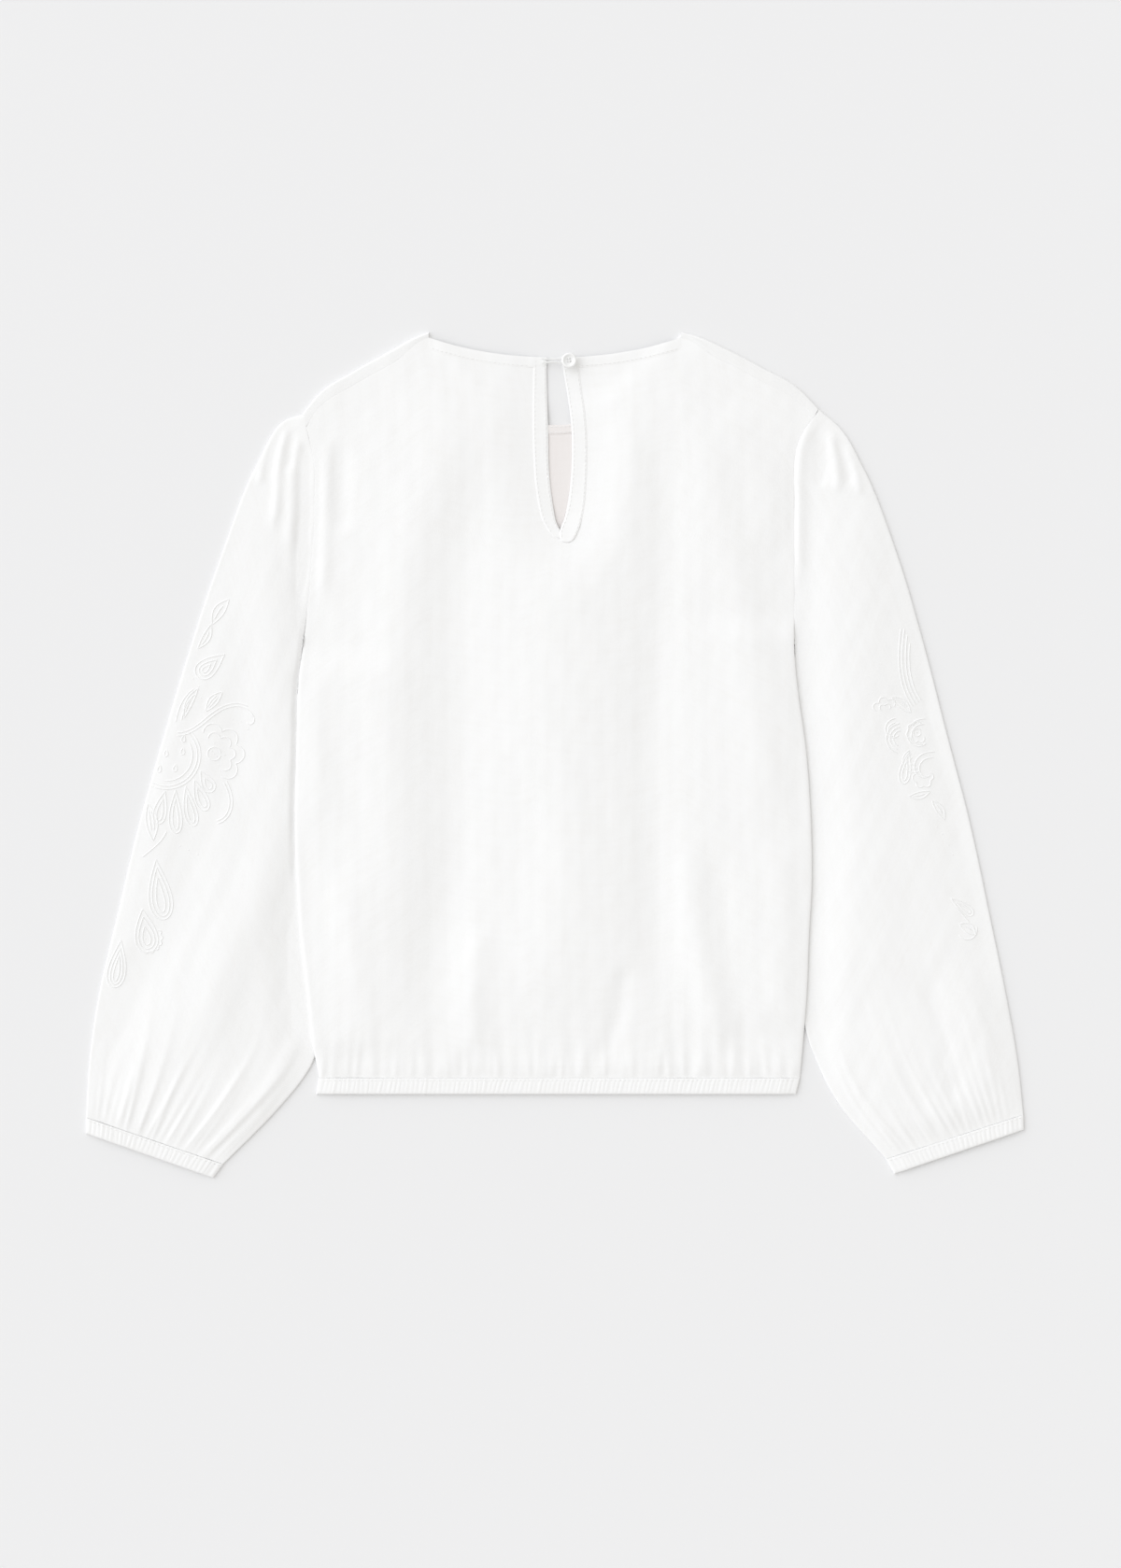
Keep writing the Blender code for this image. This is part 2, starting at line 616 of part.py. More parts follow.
def flat_ring(top_shares, under_columns, radius):
    """Stations round a flattened tube: share across, arc offset, arc height, top or not."""
    stations = [(share, 0.0, 1.0, 1.0) for share in top_shares]
    for angle in FOLD_ANGLES:
        stations.append((1.0, math.cos(math.radians(angle)), math.sin(math.radians(angle)), 0.0))
    stations += [(1.0 - k / under_columns, 0.0, -1.0, 0.0) for k in range(under_columns + 1)]
    for angle in reversed(FOLD_ANGLES):
        stations.append((0.0, -math.cos(math.radians(angle)), math.sin(math.radians(angle)), 0.0))
    return np.array(stations)


def ring_section(stations, column, width, radius, inner):
    """Distance across and height of a flattened tube's outer or inner face."""
    which = column.astype(int)
    share, arc_x, arc_z = stations[which, :3].T
    bend = radius - CLOTH if inner else radius
    across = radius + share * (width - 2.0 * radius) + arc_x * bend
    height = radius + arc_z * bend
    return share, across, height, stations[which, 3] > 0.5


def sleeve(side, cloth):
    """A bishop sleeve as a flattened tube from the armhole to the cuff."""
    edges = SLEEVE_EDGES[side]
    radius = 0.5 * EDGE_HEIGHT
    stations = flat_ring(np.linspace(0.0, 1.0, SLEEVE_COLUMNS + 1), UNDER_COLUMNS, radius)
    top_y, low_y = edges[0][2], edges[0][4]
    on_right = side == "right"
    edge_sign = 1.0 if on_right else -1.0

    def armhole(share):
        y = top_y + (low_y - top_y) * share
        return edge_sign * (np.abs(side_x(y, on_right)) + ARMHOLE_GAP)

    def place(column, row, inner):
        t = np.interp(row, np.arange(len(SLEEVE_ROWS)), SLEEVE_ROWS)
        outer_x, outer_y = through(edges, 1, t), through(edges, 2, t)
        inner_x, inner_y = through(edges, 3, t), through(edges, 4, t)
        width = np.hypot(inner_x - outer_x, inner_y - outer_y)
        share, across, height, on_top = ring_section(stations, column, width, radius, inner)
        part = across / width
        bow = armhole(part) - (edges[0][1] + (edges[0][3] - edges[0][1]) * part)
        near_cap = 1.0 - ramp(t, 0.0, CAP_SHARE)
        x = outer_x + (inner_x - outer_x) * part + bow * near_cap
        y = outer_y + (inner_y - outer_y) * part
        outside = np.abs(x) - np.abs(side_x(y, on_right))
        clear = np.where(y > low_y, np.maximum(outside, ARMHOLE_GAP), outside)
        x = x + edge_sign * (clear - outside)
        start = 1.0 - 5.0 * ramp(y - low_y, 5.0, 25.0)
        low_edges = rounded(across, SLEEVE_EDGE_RUN) * rounded(width - across, SLEEVE_EDGE_RUN)
        swell = through(SLEEVE_SWELL, 1, t) * ramp(clear, start, start + SWELL_RUN)
        swell *= rounded(across, SWELL_EDGE_RUN) * rounded(width - across, SWELL_EDGE_RUN)
        folds = relief(SLEEVE_FOLDS[side], x, y) * ramp(clear, start, start + FOLD_RUN)
        turns = 2.0 * math.pi * CUFF_GATHERS * share
        reach = CUFF_REACH * (1.0 + 0.4 * np.sin(3.4 * CUFF_GATHERS * share))
        cuff = (0.5 - 0.5 * np.cos(turns)) * CUFF_HEIGHT * ramp(t, 1.0 - reach, 1.0)
        loose = swell + low_edges * (folds + cuff)
        loose = stopped(loose, SLEEVE_STOP) - 0.5 * SLEEVE_STOP
        return x, y, height + np.where(on_top, np.maximum(loose, 0.0), 0.0)

    rows = len(SLEEVE_ROWS) - 1
    return cloth_wall(f"sleeve_{side}", len(stations), rows, place, cloth, ring=True)


def elastic_band(name, corners, ribs, under_columns, cloth):
    """A gathered elastic casing as a flattened ring, ribbed on its upper face."""
    seam_out, seam_in, free_out, free_in = (np.array(corner) for corner in corners)
    radius = 0.5 * BAND_EDGE
    stations = flat_ring(np.linspace(0.0, 1.0, 2 * ribs + 1), under_columns, radius)

    def place(column, row, inner):
        start = seam_out + np.outer(row, free_out - seam_out)
        end = seam_in + np.outer(row, free_in - seam_in)
        width = np.hypot(*(end - start).T)
        share, across, height, on_top = ring_section(stations, column, width, radius, inner)
        spot = start + (end - start) * (across / width)[:, None]
        rise = BAND_RISE * ramp(across, 0.0, BAND_RUN) * ramp(width - across, 0.0, BAND_RUN)
        rib = RIB_HEIGHT * (column % 2) * (0.8 + 0.2 * np.sin(1.9 * column))
        top = rise + (0.0 if inner else rib)
        return spot[:, 0], spot[:, 1], height + np.where(on_top, top, 0.0)

    return cloth_wall(name, len(stations), 1, place, cloth, ring=True)


def turned(name, profile, steps, material):
    """A round piece: its profile, from the top of its axis down its outer side, turned."""
    mesh = bpy.data.meshes.new(name)
    points = [(radius * MM, 0.0, height * MM) for radius, height in profile]
    edges = [(k, k + 1) for k in range(len(points) - 1)]
    mesh.from_pydata(points, edges, [])
    mesh.materials.append(material)
    piece = bpy.data.objects.new(name, mesh)
    screw = piece.modifiers.new("Turn", "SCREW")
    screw.steps = steps
    screw.render_steps = steps
    screw.use_merge_vertices = True
    screw.merge_threshold = 0.00001
    return piece


def button_seat():
    """Height of the keyhole strip's upper face under the button."""
    spot = back_top(np.array([BUTTON_X]), np.array([BUTTON_Y]))[0]
    return float(spot) + TRIM_GAP + TRIM


def button(material):
    """A small domed button on its thread stem."""
    under = BUTTON_STEM_HEIGHT
    profile = (
        (0.0, under + 1.5),
        (1.5, under + 1.6),
        (3.1, under + 2.2),
        (4.3, under + 2.3),
        (BUTTON_RADIUS, under + 1.3),
        (4.6, under),
        (BUTTON_STEM, under),
        (BUTTON_STEM, 0.0),
        (0.0, 0.0),
    )
    piece = turned("button", profile, 20, material)
    piece.location = (BUTTON_X * MM, BUTTON_Y * MM, (button_seat() + TRIM_GAP) * MM)
    return piece


def button_loop(material):
    """A thread loop from the left edge of the keyhole round the button's stem."""
    height = button_seat() + TRIM_GAP + LOOP_RADIUS
    turn = BUTTON_STEM + LOOP_RADIUS + TRIM_GAP
    points = [(LOOP_START_X, BUTTON_Y + 1.6)]
    points += [(-4.0, BUTTON_Y + 1.0), (1.0, BUTTON_Y + 1.2), (6.0, BUTTON_Y + 1.8)]
    for k in range(7):
        angle = math.radians(90.0 - 30.0 * k)
        points.append((BUTTON_X + turn * math.cos(angle), BUTTON_Y + turn * math.sin(angle)))
    points += [(6.0, BUTTON_Y - 1.7), (1.0, BUTTON_Y - 1.2), (-4.0, BUTTON_Y - 1.0)]
    points.append((LOOP_START_X, BUTTON_Y - 1.6))
    curve = bpy.data.curves.new("button_loop", "CURVE")
    curve.dimensions = "3D"
    curve.bevel_depth = LOOP_RADIUS * MM
    curve.bevel_resolution = 1
    curve.use_fill_caps = True
    spline = curve.splines.new("POLY")
    spline.points.add(len(points) - 1)
    for point, (x, y) in zip(spline.points, points):
        point.co = (x * MM, y * MM, height * MM, 1.0)
    curve.materials.append(material)
    return bpy.data.objects.new("button_loop", curve)


def build():
    """Clears the scene and makes every piece of the garment."""
    for old in list(bpy.data.objects):
        bpy.data.objects.remove(old, do_unlink=True)
    cotton = new_material("white_cotton", (0.93, 0.925, 0.915), 0.88)
    trim = new_material("white_trim", (0.93, 0.925, 0.915), 0.8)
    glossy = new_material("white_button", (0.92, 0.92, 0.9), 0.2)
    pieces = [back_panel(cotton), front_panel(cotton)]
    pieces += [sleeve(side, cotton) for side in SLEEVE_EDGES]
    for side, corners in CUFF_CORNERS.items():
        pieces.append(elastic_band(f"cuff_{side}", corners, CUFF_RIBS, 3, cotton))
    pieces.append(elastic_band("hem_band", HEM_CORNERS, HEM_RIBS, 8, cotton))
    pieces += neck_bindings(trim)
    pieces += [neck_binding_front(trim), keyhole_binding(trim)]
    pieces += [button(glossy), button_loop(trim)]
    garment = bpy.data.collections.new("flat_embroidered_top")
    bpy.context.scene.collection.children.link(garment)
    for piece in pieces:
        garment.objects.link(piece)


build()
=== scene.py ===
# %% [markdown]
# # A long-sleeved embroidered top, laid flat with its back side up
# The real thing is a white cotton top with gathered bishop sleeves, elastic cuffs and hem,
# a buttoned keyhole at the back of the neck, and raised white embroidery on both sleeves.
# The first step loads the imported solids. Every piece made below stands where its solid is,
# because the two share one frame, in metres.

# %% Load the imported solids
import json
import math
import random

import bpy
import numpy as np
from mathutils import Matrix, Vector
from mathutils.bvhtree import BVHTree

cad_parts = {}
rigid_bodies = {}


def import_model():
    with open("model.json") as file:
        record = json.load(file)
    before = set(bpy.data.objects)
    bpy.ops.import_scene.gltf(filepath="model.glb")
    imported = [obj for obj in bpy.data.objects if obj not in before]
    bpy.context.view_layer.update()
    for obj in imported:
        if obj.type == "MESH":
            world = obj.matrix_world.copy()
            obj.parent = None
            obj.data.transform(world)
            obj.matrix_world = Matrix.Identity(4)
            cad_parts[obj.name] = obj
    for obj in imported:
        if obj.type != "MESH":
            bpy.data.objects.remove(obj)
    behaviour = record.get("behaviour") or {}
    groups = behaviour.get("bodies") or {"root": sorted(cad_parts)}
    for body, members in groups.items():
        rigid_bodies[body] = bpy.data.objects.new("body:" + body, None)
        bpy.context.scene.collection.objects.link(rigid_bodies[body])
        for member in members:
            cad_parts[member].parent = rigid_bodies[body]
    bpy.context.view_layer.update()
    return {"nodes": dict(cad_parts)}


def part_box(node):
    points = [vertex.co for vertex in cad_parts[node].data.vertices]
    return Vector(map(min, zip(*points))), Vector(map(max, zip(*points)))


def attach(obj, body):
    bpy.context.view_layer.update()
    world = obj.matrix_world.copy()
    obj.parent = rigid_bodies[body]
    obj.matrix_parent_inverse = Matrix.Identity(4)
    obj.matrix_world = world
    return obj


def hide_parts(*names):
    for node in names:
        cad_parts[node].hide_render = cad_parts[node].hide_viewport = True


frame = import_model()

MM = 0.001
print("solids:", sorted(frame["nodes"]))

# %% [markdown]
# ## The camera
# The photograph was taken from straight above, so the camera looks down the Z axis. One of
# its pixels is 0.62 mm of the garment, which gives the height for a long, flat lens.

# %% Camera
PIXEL = 0.62 * MM
PHOTO_SIZE = (1200, 1679)
PHOTO_ZERO = (594.0, 808.5)
LENS = 100.0
SENSOR = 36.0

camera = bpy.data.objects.new("photo_camera", bpy.data.cameras.new("photo_camera"))
bpy.context.scene.collection.objects.link(camera)
camera.data.lens = LENS
camera.data.sensor_width = SENSOR
camera.location = (
    (0.5 * PHOTO_SIZE[0] - PHOTO_ZERO[0]) * PIXEL,
    (PHOTO_ZERO[1] - 0.5 * PHOTO_SIZE[1]) * PIXEL,
    PHOTO_SIZE[1] * PIXEL * LENS / SENSOR,
)
bpy.context.scene.camera = camera
print("camera at", tuple(round(v, 4) for v in camera.location))

# %% [markdown]
# ## The light
# The cloth is nearly white, and its folds show only as soft warm shading. A bright plain sky
# fills the scene, and one wide softbox far off to the upper left rakes over the folds. It is
# a sun lamp with a wide angle, so that the board is lit evenly. The view transform is plain,
# so that white stays white.

# %% Light
scene = bpy.context.scene
scene.view_settings.view_transform = "Standard"
scene.view_settings.look = "None"

SKY = (1.0, 0.986, 0.960)
SKY_STRENGTH = 0.692
SUN_POWER = 1.85
SUN_COLOUR = (0.915, 0.945, 1.0)
SUN_SOFTNESS = 80.0
SUN_ELEVATION = 33.0
SUN_FROM = 150.0

world = bpy.data.worlds.new("studio_sky")
scene.world = world
world.use_nodes = True
world.node_tree.nodes["Background"].inputs["Color"].default_value = (*SKY, 1.0)
world.node_tree.nodes["Background"].inputs["Strength"].default_value = SKY_STRENGTH

softbox = bpy.data.objects.new("softbox", bpy.data.lights.new("softbox", "SUN"))
softbox.data.energy = SUN_POWER
softbox.data.angle = math.radians(SUN_SOFTNESS)
softbox.data.color = SUN_COLOUR
toward = Vector((
    math.cos(math.radians(SUN_ELEVATION)) * math.cos(math.radians(SUN_FROM)),
    math.cos(math.radians(SUN_ELEVATION)) * math.sin(math.radians(SUN_FROM)),
    math.sin(math.radians(SUN_ELEVATION)),
))
softbox.rotation_euler = toward.to_track_quat("Z", "Y").to_euler()
scene.collection.objects.link(softbox)
print("softbox from", tuple(round(v, 2) for v in toward))

# %% [markdown]
# ## The floor
# A plain pale board lies under the garment. It is stage, so it isn't part of the object.
# Real boards have a faint grain, so its tone and roughness drift a little.

# %% Floor
FLOOR_SIZE = 5.0
FLOOR_COLOUR = (0.873, 0.873, 0.877)

bpy.ops.object.select_all(action="DESELECT")
bpy.ops.mesh.primitive_plane_add(size=FLOOR_SIZE, location=(0.0, 0.0, -0.00005))
floor = bpy.context.object
floor.name = floor.data.name = "studio_floor"


def new_material(name, colour, roughness):
    """A material with a Principled shader, and the names of its nodes to hand."""
    material = bpy.data.materials.new(name)
    material.use_nodes = True
    shader = material.node_tree.nodes["Principled BSDF"]
    shader.inputs["Base Color"].default_value = (*colour, 1.0)
    shader.inputs["Roughness"].default_value = roughness
    return material, material.node_tree, shader


def noise_node(tree, places, scale, detail):
    """A noise read at places, a vector socket; its strength comes back as a socket."""
    noise = tree.nodes.new("ShaderNodeTexNoise")
    noise.inputs["Scale"].default_value = scale
    noise.inputs["Detail"].default_value = detail
    tree.links.new(places, noise.inputs["Vector"])
    return noise.outputs["Fac"]


def object_places(tree):
    """The socket of a Texture Coordinate node that gives Object coordinates."""
    return tree.nodes.new("ShaderNodeTexCoord").outputs["Object"]


floor_material, tree, shader = new_material("pale_board", FLOOR_COLOUR, 0.7)
grain = noise_node(tree, object_places(tree), 3.0, 3.0)
tones = tree.nodes.new("ShaderNodeMapRange")
tones.inputs["To Min"].default_value = 0.66
tones.inputs["To Max"].default_value = 0.74
tree.links.new(grain, tones.inputs["Value"])
tree.links.new(tones.outputs["Result"], shader.inputs["Roughness"])
floor.data.materials.append(floor_material)
print("floor", FLOOR_SIZE, "m")

# %% [markdown]
# ## The weave
# Close up, cotton is a plain weave: threads over and under, with thicker slubs here and
# there. It could be modelled thread by thread, but at half a millimetre a thread it is far
# finer than the folds, so it is a bump. One node group draws it from the piece's own UV map,
# which is laid out in metres, so that the threads keep their size and follow the cloth.

# %% Weave group
THREADS_PER_METRE = 2200.0
SLUBS_PER_METRE = 260.0


def new_group(name, inputs, outputs):
    """A shader node group with float inputs (name, value) and outputs (name, type)."""
    group = bpy.data.node_groups.new(name, "ShaderNodeTree")
    for label, value in inputs:
        socket = group.interface.new_socket(label, in_out="INPUT", socket_type="NodeSocketFloat")
        socket.default_value = value
    for label, kind in outputs:
        group.interface.new_socket(label, in_out="OUTPUT", socket_type=kind)
    return group, group.nodes.new("NodeGroupInput"), group.nodes.new("NodeGroupOutput")


def math_node(group, operation, first, second):
    """A Math node; first and second are sockets or numbers."""
    node = group.nodes.new("ShaderNodeMath")
    node.operation = operation
    for socket, source in zip(node.inputs, (first, second)):
        if isinstance(source, (int, float)):
            socket.default_value = source
        else:
            group.links.new(source, socket)
    return node.outputs[0]


weave, weave_in, weave_out = new_group(
    "cotton_weave",
    (("Threads", THREADS_PER_METRE), ("Slub Share", 0.5)),
    (("Height", "NodeSocketFloat"), ("Slubs", "NodeSocketFloat")),
)
uv = weave.nodes.new("ShaderNodeUVMap")
split = weave.nodes.new("ShaderNodeSeparateXYZ")
weave.links.new(uv.outputs["UV"], split.inputs["Vector"])
threads = []
for axis in ("X", "Y"):
    turns = math_node(weave, "MULTIPLY", split.outputs[axis], weave_in.outputs["Threads"])
    turns = math_node(weave, "MULTIPLY", turns, math.pi)
    threads.append(math_node(weave, "SINE", turns, 0.0))
checker = math_node(weave, "MULTIPLY", threads[0], threads[1])
slub_parts = []
for stretch in ((1.0, 0.12, 1.0), (0.12, 1.0, 1.0)):
    stretched = weave.nodes.new("ShaderNodeVectorMath")
    stretched.operation = "MULTIPLY"
    stretched.inputs[1].default_value = stretch
    weave.links.new(uv.outputs["UV"], stretched.inputs[0])
    slub_parts.append(noise_node(weave, stretched.outputs["Vector"], SLUBS_PER_METRE, 2.0))
slubs = math_node(weave, "ADD", slub_parts[0], slub_parts[1])
slub_height = math_node(weave, "MULTIPLY", slubs, weave_in.outputs["Slub Share"])
weave.links.new(math_node(weave, "ADD", checker, slub_height), weave_out.inputs["Height"])
weave.links.new(slubs, weave_out.inputs["Slubs"])
print("weave group:", len(weave.nodes), "nodes")

# %% [markdown]
# ## The cloths
# The body and sleeves are matt cotton. The bindings are the same cloth, doubled and pressed,
# so they are a touch smoother. Each mixes two near-white tones along its slubs, and a little
# sheen stands for the fuzz of cotton, which brightens where the cloth turns away.

# %% Cotton materials
WHITE = (0.956, 0.956, 0.953)
WHITE_LOW = (0.940, 0.936, 0.928)
# Darker, warmer tones of the same cotton: painted shade for the front's inside, which lies in the
# back panel's shade.
PAINTED_SHADE_TONE = (0.886, 0.850, 0.836)
PAINTED_SHADE_TONE_LOW = (0.872, 0.833, 0.816)


def cloth_material(name, roughness, bump, slub_share, sheen, high=WHITE, low=WHITE_LOW):
    """Near-white cotton: two tones, slubs and weave from the shared group."""
    material, tree, shader = new_material(name, WHITE, roughness)
    group = tree.nodes.new("ShaderNodeGroup")
    group.node_tree = weave
    group.inputs["Slub Share"].default_value = slub_share
    tones = tree.nodes.new("ShaderNodeMix")
    tones.data_type = "RGBA"
    tones.inputs["A"].default_value = (*low, 1.0)
    tones.inputs["B"].default_value = (*high, 1.0)
    spread = tree.nodes.new("ShaderNodeMapRange")
    spread.inputs["From Min"].default_value = 0.6
    spread.inputs["From Max"].default_value = 1.1
    tree.links.new(group.outputs["Slubs"], spread.inputs["Value"])
    tree.links.new(spread.outputs["Result"], tones.inputs["Factor"])
    tree.links.new(tones.outputs["Result"], shader.inputs["Base Color"])
    relief_bump = tree.nodes.new("ShaderNodeBump")
    relief_bump.inputs["Strength"].default_value = bump
    relief_bump.inputs["Distance"].default_value = 0.00008
    tree.links.new(group.outputs["Height"], relief_bump.inputs["Height"])
    tree.links.new(relief_bump.outputs["Normal"], shader.inputs["Normal"])
    shader.inputs["Specular IOR Level"].default_value = 0.25
    shader.inputs["Sheen Weight"].default_value = sheen
    shader.inputs["Sheen Roughness"].default_value = 0.6
    return material


cotton = cloth_material("white_cotton_cloth", 0.9, 0.35, 0.6, 0.12)
binding_cotton = cloth_material("white_binding_cloth", 0.82, 0.3, 0.4, 0.08)
elastic_cotton = cloth_material("white_elastic_cloth", 0.88, 0.35, 0.6, 0.1)
# This material is painted shade: the same cloth in darker, warmer tones, not a different cotton.
painted_shade_cotton = cloth_material("white_cotton_painted_shade", 0.9, 0.35, 0.6, 0.12, PAINTED_SHADE_TONE, PAINTED_SHADE_TONE_LOW)
print("cloths:", cotton.name, binding_cotton.name, elastic_cotton.name)

# %% [markdown]
# ## The pattern of the garment
# The tables below are in millimetres: the outline of the neck, the shoulders and the sides,
# the keyhole, the main folds and the sleeves' two edges. A maker would call them the pattern.
# The outline and the back's folds are the part's own, but for the seam side of the cuffs and
# the hem, which is moved by up to half a millimetre. All the cloth but the front is thinner
# than the solids' walls, so the layer gap, the rolled edges and the sleeves' swell are lower
# here. The sleeves' folds and the gathers are placed again, on a finer grid.

# %% Body tables
CLOTH = 1.0
WALL = 0.45
TUBE_WALL = 0.6
FRONT_FACING_WALL = 0.6
NECK_FACING_WALL = 0.4
LAYER_GAP = 0.15
NECK_X = 83.7
RIDGE_Y = 280.6
BACK_NECK_Y = 264.0
BACK_NECK_RISE = 13.0
FRONT_NECK_Y = 219.0
NECK_POWER = 2.2
SEAM_DROP_NECK = 3.5
SEAM_DROP_SHOULDER = 9.0
SHOULDER_RUN = 25.0
HEM_Y = -214.2
HEM_END_Y = -225.0
EDGE_HEIGHT = 1.7
LIFT = EDGE_HEIGHT + LAYER_GAP
FLAT_SHARE = 0.915
FOOT_SHARE = 0.82
BACK_FLAT_SHARE = 0.90
BACK_FOOT_SHARE = 0.35
CALM_X = 4.0
CALM_Y = 205.0
CALM_STRETCH = 0.45
CALM_START = 14.0
CALM_END = 50.0
CALM_SHARE = 0.1
PRESS = 0.35
PRESS_RUN = 14.0
HEM_FALL = 0.6
HEM_FALL_RUN = 10.0
CORNER_Y = 277.0
CORNER_RUN = 9.0
CORNER_DROP = 0.7
SAG = 1.0
SAG_START = 2.0
SAG_END = 22.0
PUFF = 3.0
PUFF_EDGE = 0.5
PUFF_RUN = 70.0

RIDGE = (
    (-167.2, 226.6), (-157.5, 238.4), (-133.3, 254.5), (-106.6, 269.4), (-93.0, 277.0),
    (-NECK_X, RIDGE_Y), (NECK_X, RIDGE_Y), (95.0, 277.6), (110.0, 271.0), (138.0, 256.5),
    (163.5, 241.5), (174.5, 230.0),
)

# y, left x, right x
BODY_SIDES = (
    (-214.2, -156.5, 162.6), (-191.0, -160.6, 164.6), (-155.0, -164.4, 167.2),
    (-119.0, -168.6, 168.6), (-85.0, -171.0, 170.4), (-45.0, -172.4, 169.8),
    (8.0, -171.2, 166.0), (40.0, -170.5, 161.5), (66.0, -168.2, 158.9),
    (100.0, -163.8, 158.7), (140.0, -160.4, 158.7), (175.0, -159.3, 158.7),
    (195.0, -159.8, 158.9), (210.0, -163.2, 162.5), (228.0, -167.2, 174.5),
)

# y, left share, right share
LIFT_RUN = (
    (-214.2, 0.0, 0.0), (-205.0, 0.1, 0.0), (-188.0, 0.9, 0.2), (-168.0, 1.0, 1.0),
    (50.0, 1.0, 1.0), (74.0, 0.0, 1.0), (96.0, 0.0, 0.0),
)

# y, left outer x, left edge x, right edge x, right outer x
KEYHOLE = (
    (-20.0, -13.5, -4.5, 4.5, 13.5), (60.0, -12.0, -3.5, 6.0, 15.0),
    (100.0, -9.0, -1.0, 8.0, 17.0), (125.0, -2.5, 4.6, 9.0, 16.0),
    (141.0, 1.5, 6.0, 9.6, 14.0), (148.5, -5.5, 2.2, 4.4, 13.8),
    (156.0, -8.6, 0.4, 6.2, 16.6), (165.0, -10.6, -1.2, 8.0, 18.6),
    (180.0, -12.6, -3.2, 10.2, 20.9), (197.0, -13.8, -4.2, 11.2, 22.0),
    (210.0, -14.3, -4.3, 11.2, 21.9), (233.0, -14.7, -5.0, 10.2, 20.6),
    (264.0, -14.9, -5.6, 4.3, 14.5),
)
print("tables for the body:", len(BODY_SIDES), "rows down each side")

# %% Fold tables
# Name, half width, height, then the points that the crest runs through
BACK_FOLDS = (
    ("left ridge", 22.0, 1.8, ((-66, 240), (-80, 190), (-92, 150), (-104, 100), (-110, 50),
                               (-108, 0), (-109, -60), (-112, -120), (-106, -200))),
    ("left trough", 18.0, -1.4, ((-46, 240), (-50, 190), (-56, 140), (-61, 90), (-63, 20),
                                 (-66, -60), (-75, -110), (-83, -160), (-84, -205))),
    ("middle ridge", 36.0, 2.6, ((14, 215), (12, 150), (6, 100), (5, 50), (8, 0), (12, -50),
                                 (8, -100), (0, -150), (-6, -205))),
    ("right trough", 15.0, -1.4, ((64, 246), (70, 200), (74, 150), (72, 100), (68, 50), (62, 0),
                                  (64, -50), (67, -100), (72, -150), (80, -205))),
    ("right ridge", 17.0, 1.5, ((98, 235), (105, 200), (112, 160), (124, 100), (131, 50),
                                (136, -10), (140, -60))),
    ("thin ridge", 9.0, 0.9, ((87, -45), (90, -90), (96, -130), (104, -170), (110, -205))),
    ("thin trough", 9.0, -0.7, ((106, -60), (112, -110), (121, -160), (129, -205))),
    ("side ridge", 10.0, 0.8, ((150, -50), (151, -110), (148, -180))),
    ("bright edge", 9.0, 0.7, ((-158, 60), (-158, 10), (-157, -50))),
    ("low ridge", 12.0, 1.0, ((-140, -70), (-134, -130), (-128, -200))),
    ("hem roll", 9.0, 1.1, ((-50, -110), (-54, -155), (-56, -205))),
    ("hem crease", 7.0, -1.0, ((49, -135), (41, -172), (31, -208))),
    ("left arm ridge", 4.5, 0.9, ((-150, 213), (-151, 180), (-152, 140), (-154, 95))),
    ("left arm trough", 7.0, -1.0, ((-140, 210), (-142, 180), (-141, 145))),
    ("right arm ridge", 12.0, 0.9, ((112, 238), (126, 205), (138, 170), (142, 130))),
)

SLEEVE_FOLDS = {
    "left": (
        ("edge ridge", 12.0, 0.5,
         ((-236, 110), (-252, 30), (-264, -30), (-283, -100), (-296, -160))),
        ("long trough", 14.0, -1.1, ((-204, 100), (-211, 50), (-215, 0), (-233, -50), (-250, -100),
                                     (-267, -140), (-284, -180), (-291, -215))),
        ("valley roll", 17.0, 1.9, ((-184, 140), (-182, 100), (-178, 50), (-173, 0), (-180, -50),
                                    (-200, -100), (-218, -140), (-232, -180), (-244, -215))),
        ("valley", 14.0, -0.6, ((-165, -90), (-172, -140), (-184, -185), (-205, -225))),
        ("inner roll", 5.0, 0.6, ((-170, -185), (-184, -212), (-203, -238))),
        ("seam trough", 4.8, -1.1, ((-165, 212), (-166.8, 192), (-167, 165), (-168.4, 125),
                                    (-170.5, 80))),
        ("cap roll", 4.4, 1.1, ((-170.5, 214), (-172.5, 195), (-174, 165), (-176, 120))),
        ("cap groove", 2.4, -1.0, ((-173.5, 217), (-175.3, 203), (-176.5, 188))),
        ("cap ridge", 3.2, 1.1, ((-176, 221), (-180.5, 208), (-183.2, 192), (-184.5, 170),
                                 (-187, 145))),
        ("outer groove", 3.0, -0.7, ((-181, 218), (-187, 203), (-190, 185))),
        ("outer ridge", 3.0, 1.0, ((-186, 215), (-193, 198), (-197, 178))),
    ),
    "right": (
        ("inner ridge", 24.0, 1.5, ((186, 170), (196, 80), (202, 0), (205, -60), (208, -120),
                                    (212, -180))),
        ("outer fall", 24.0, -1.0, ((232, 110), (250, 30), (264, -40), (277, -110), (288, -170))),
        ("cuff crease", 8.0, -1.0, ((245, -134), (258, -190), (269, -232))),
        ("cuff roll", 9.0, 0.7, ((268, -130), (282, -185), (290, -228))),
        ("seam roll", 4.8, 1.1, ((168.5, 223), (164, 208), (162.2, 190), (161.8, 150),
                                 (162.2, 105))),
        ("cap valley", 3.4, -1.2, ((176.5, 222), (177.5, 207), (176.5, 192), (176, 176))),
        ("cap ridge", 3.2, 1.1, ((181.5, 217), (185, 204), (187, 188), (188, 172))),
        ("outer groove", 2.6, -1.1, ((187, 212), (193, 196), (196, 178))),
        ("outer ridge", 3.0, 0.9, ((192, 207), (199, 190), (203, 170))),
    ),
}
FOLD_START = 0.22
FOLD_END = 0.18
print("folds on the back:", len(BACK_FOLDS))

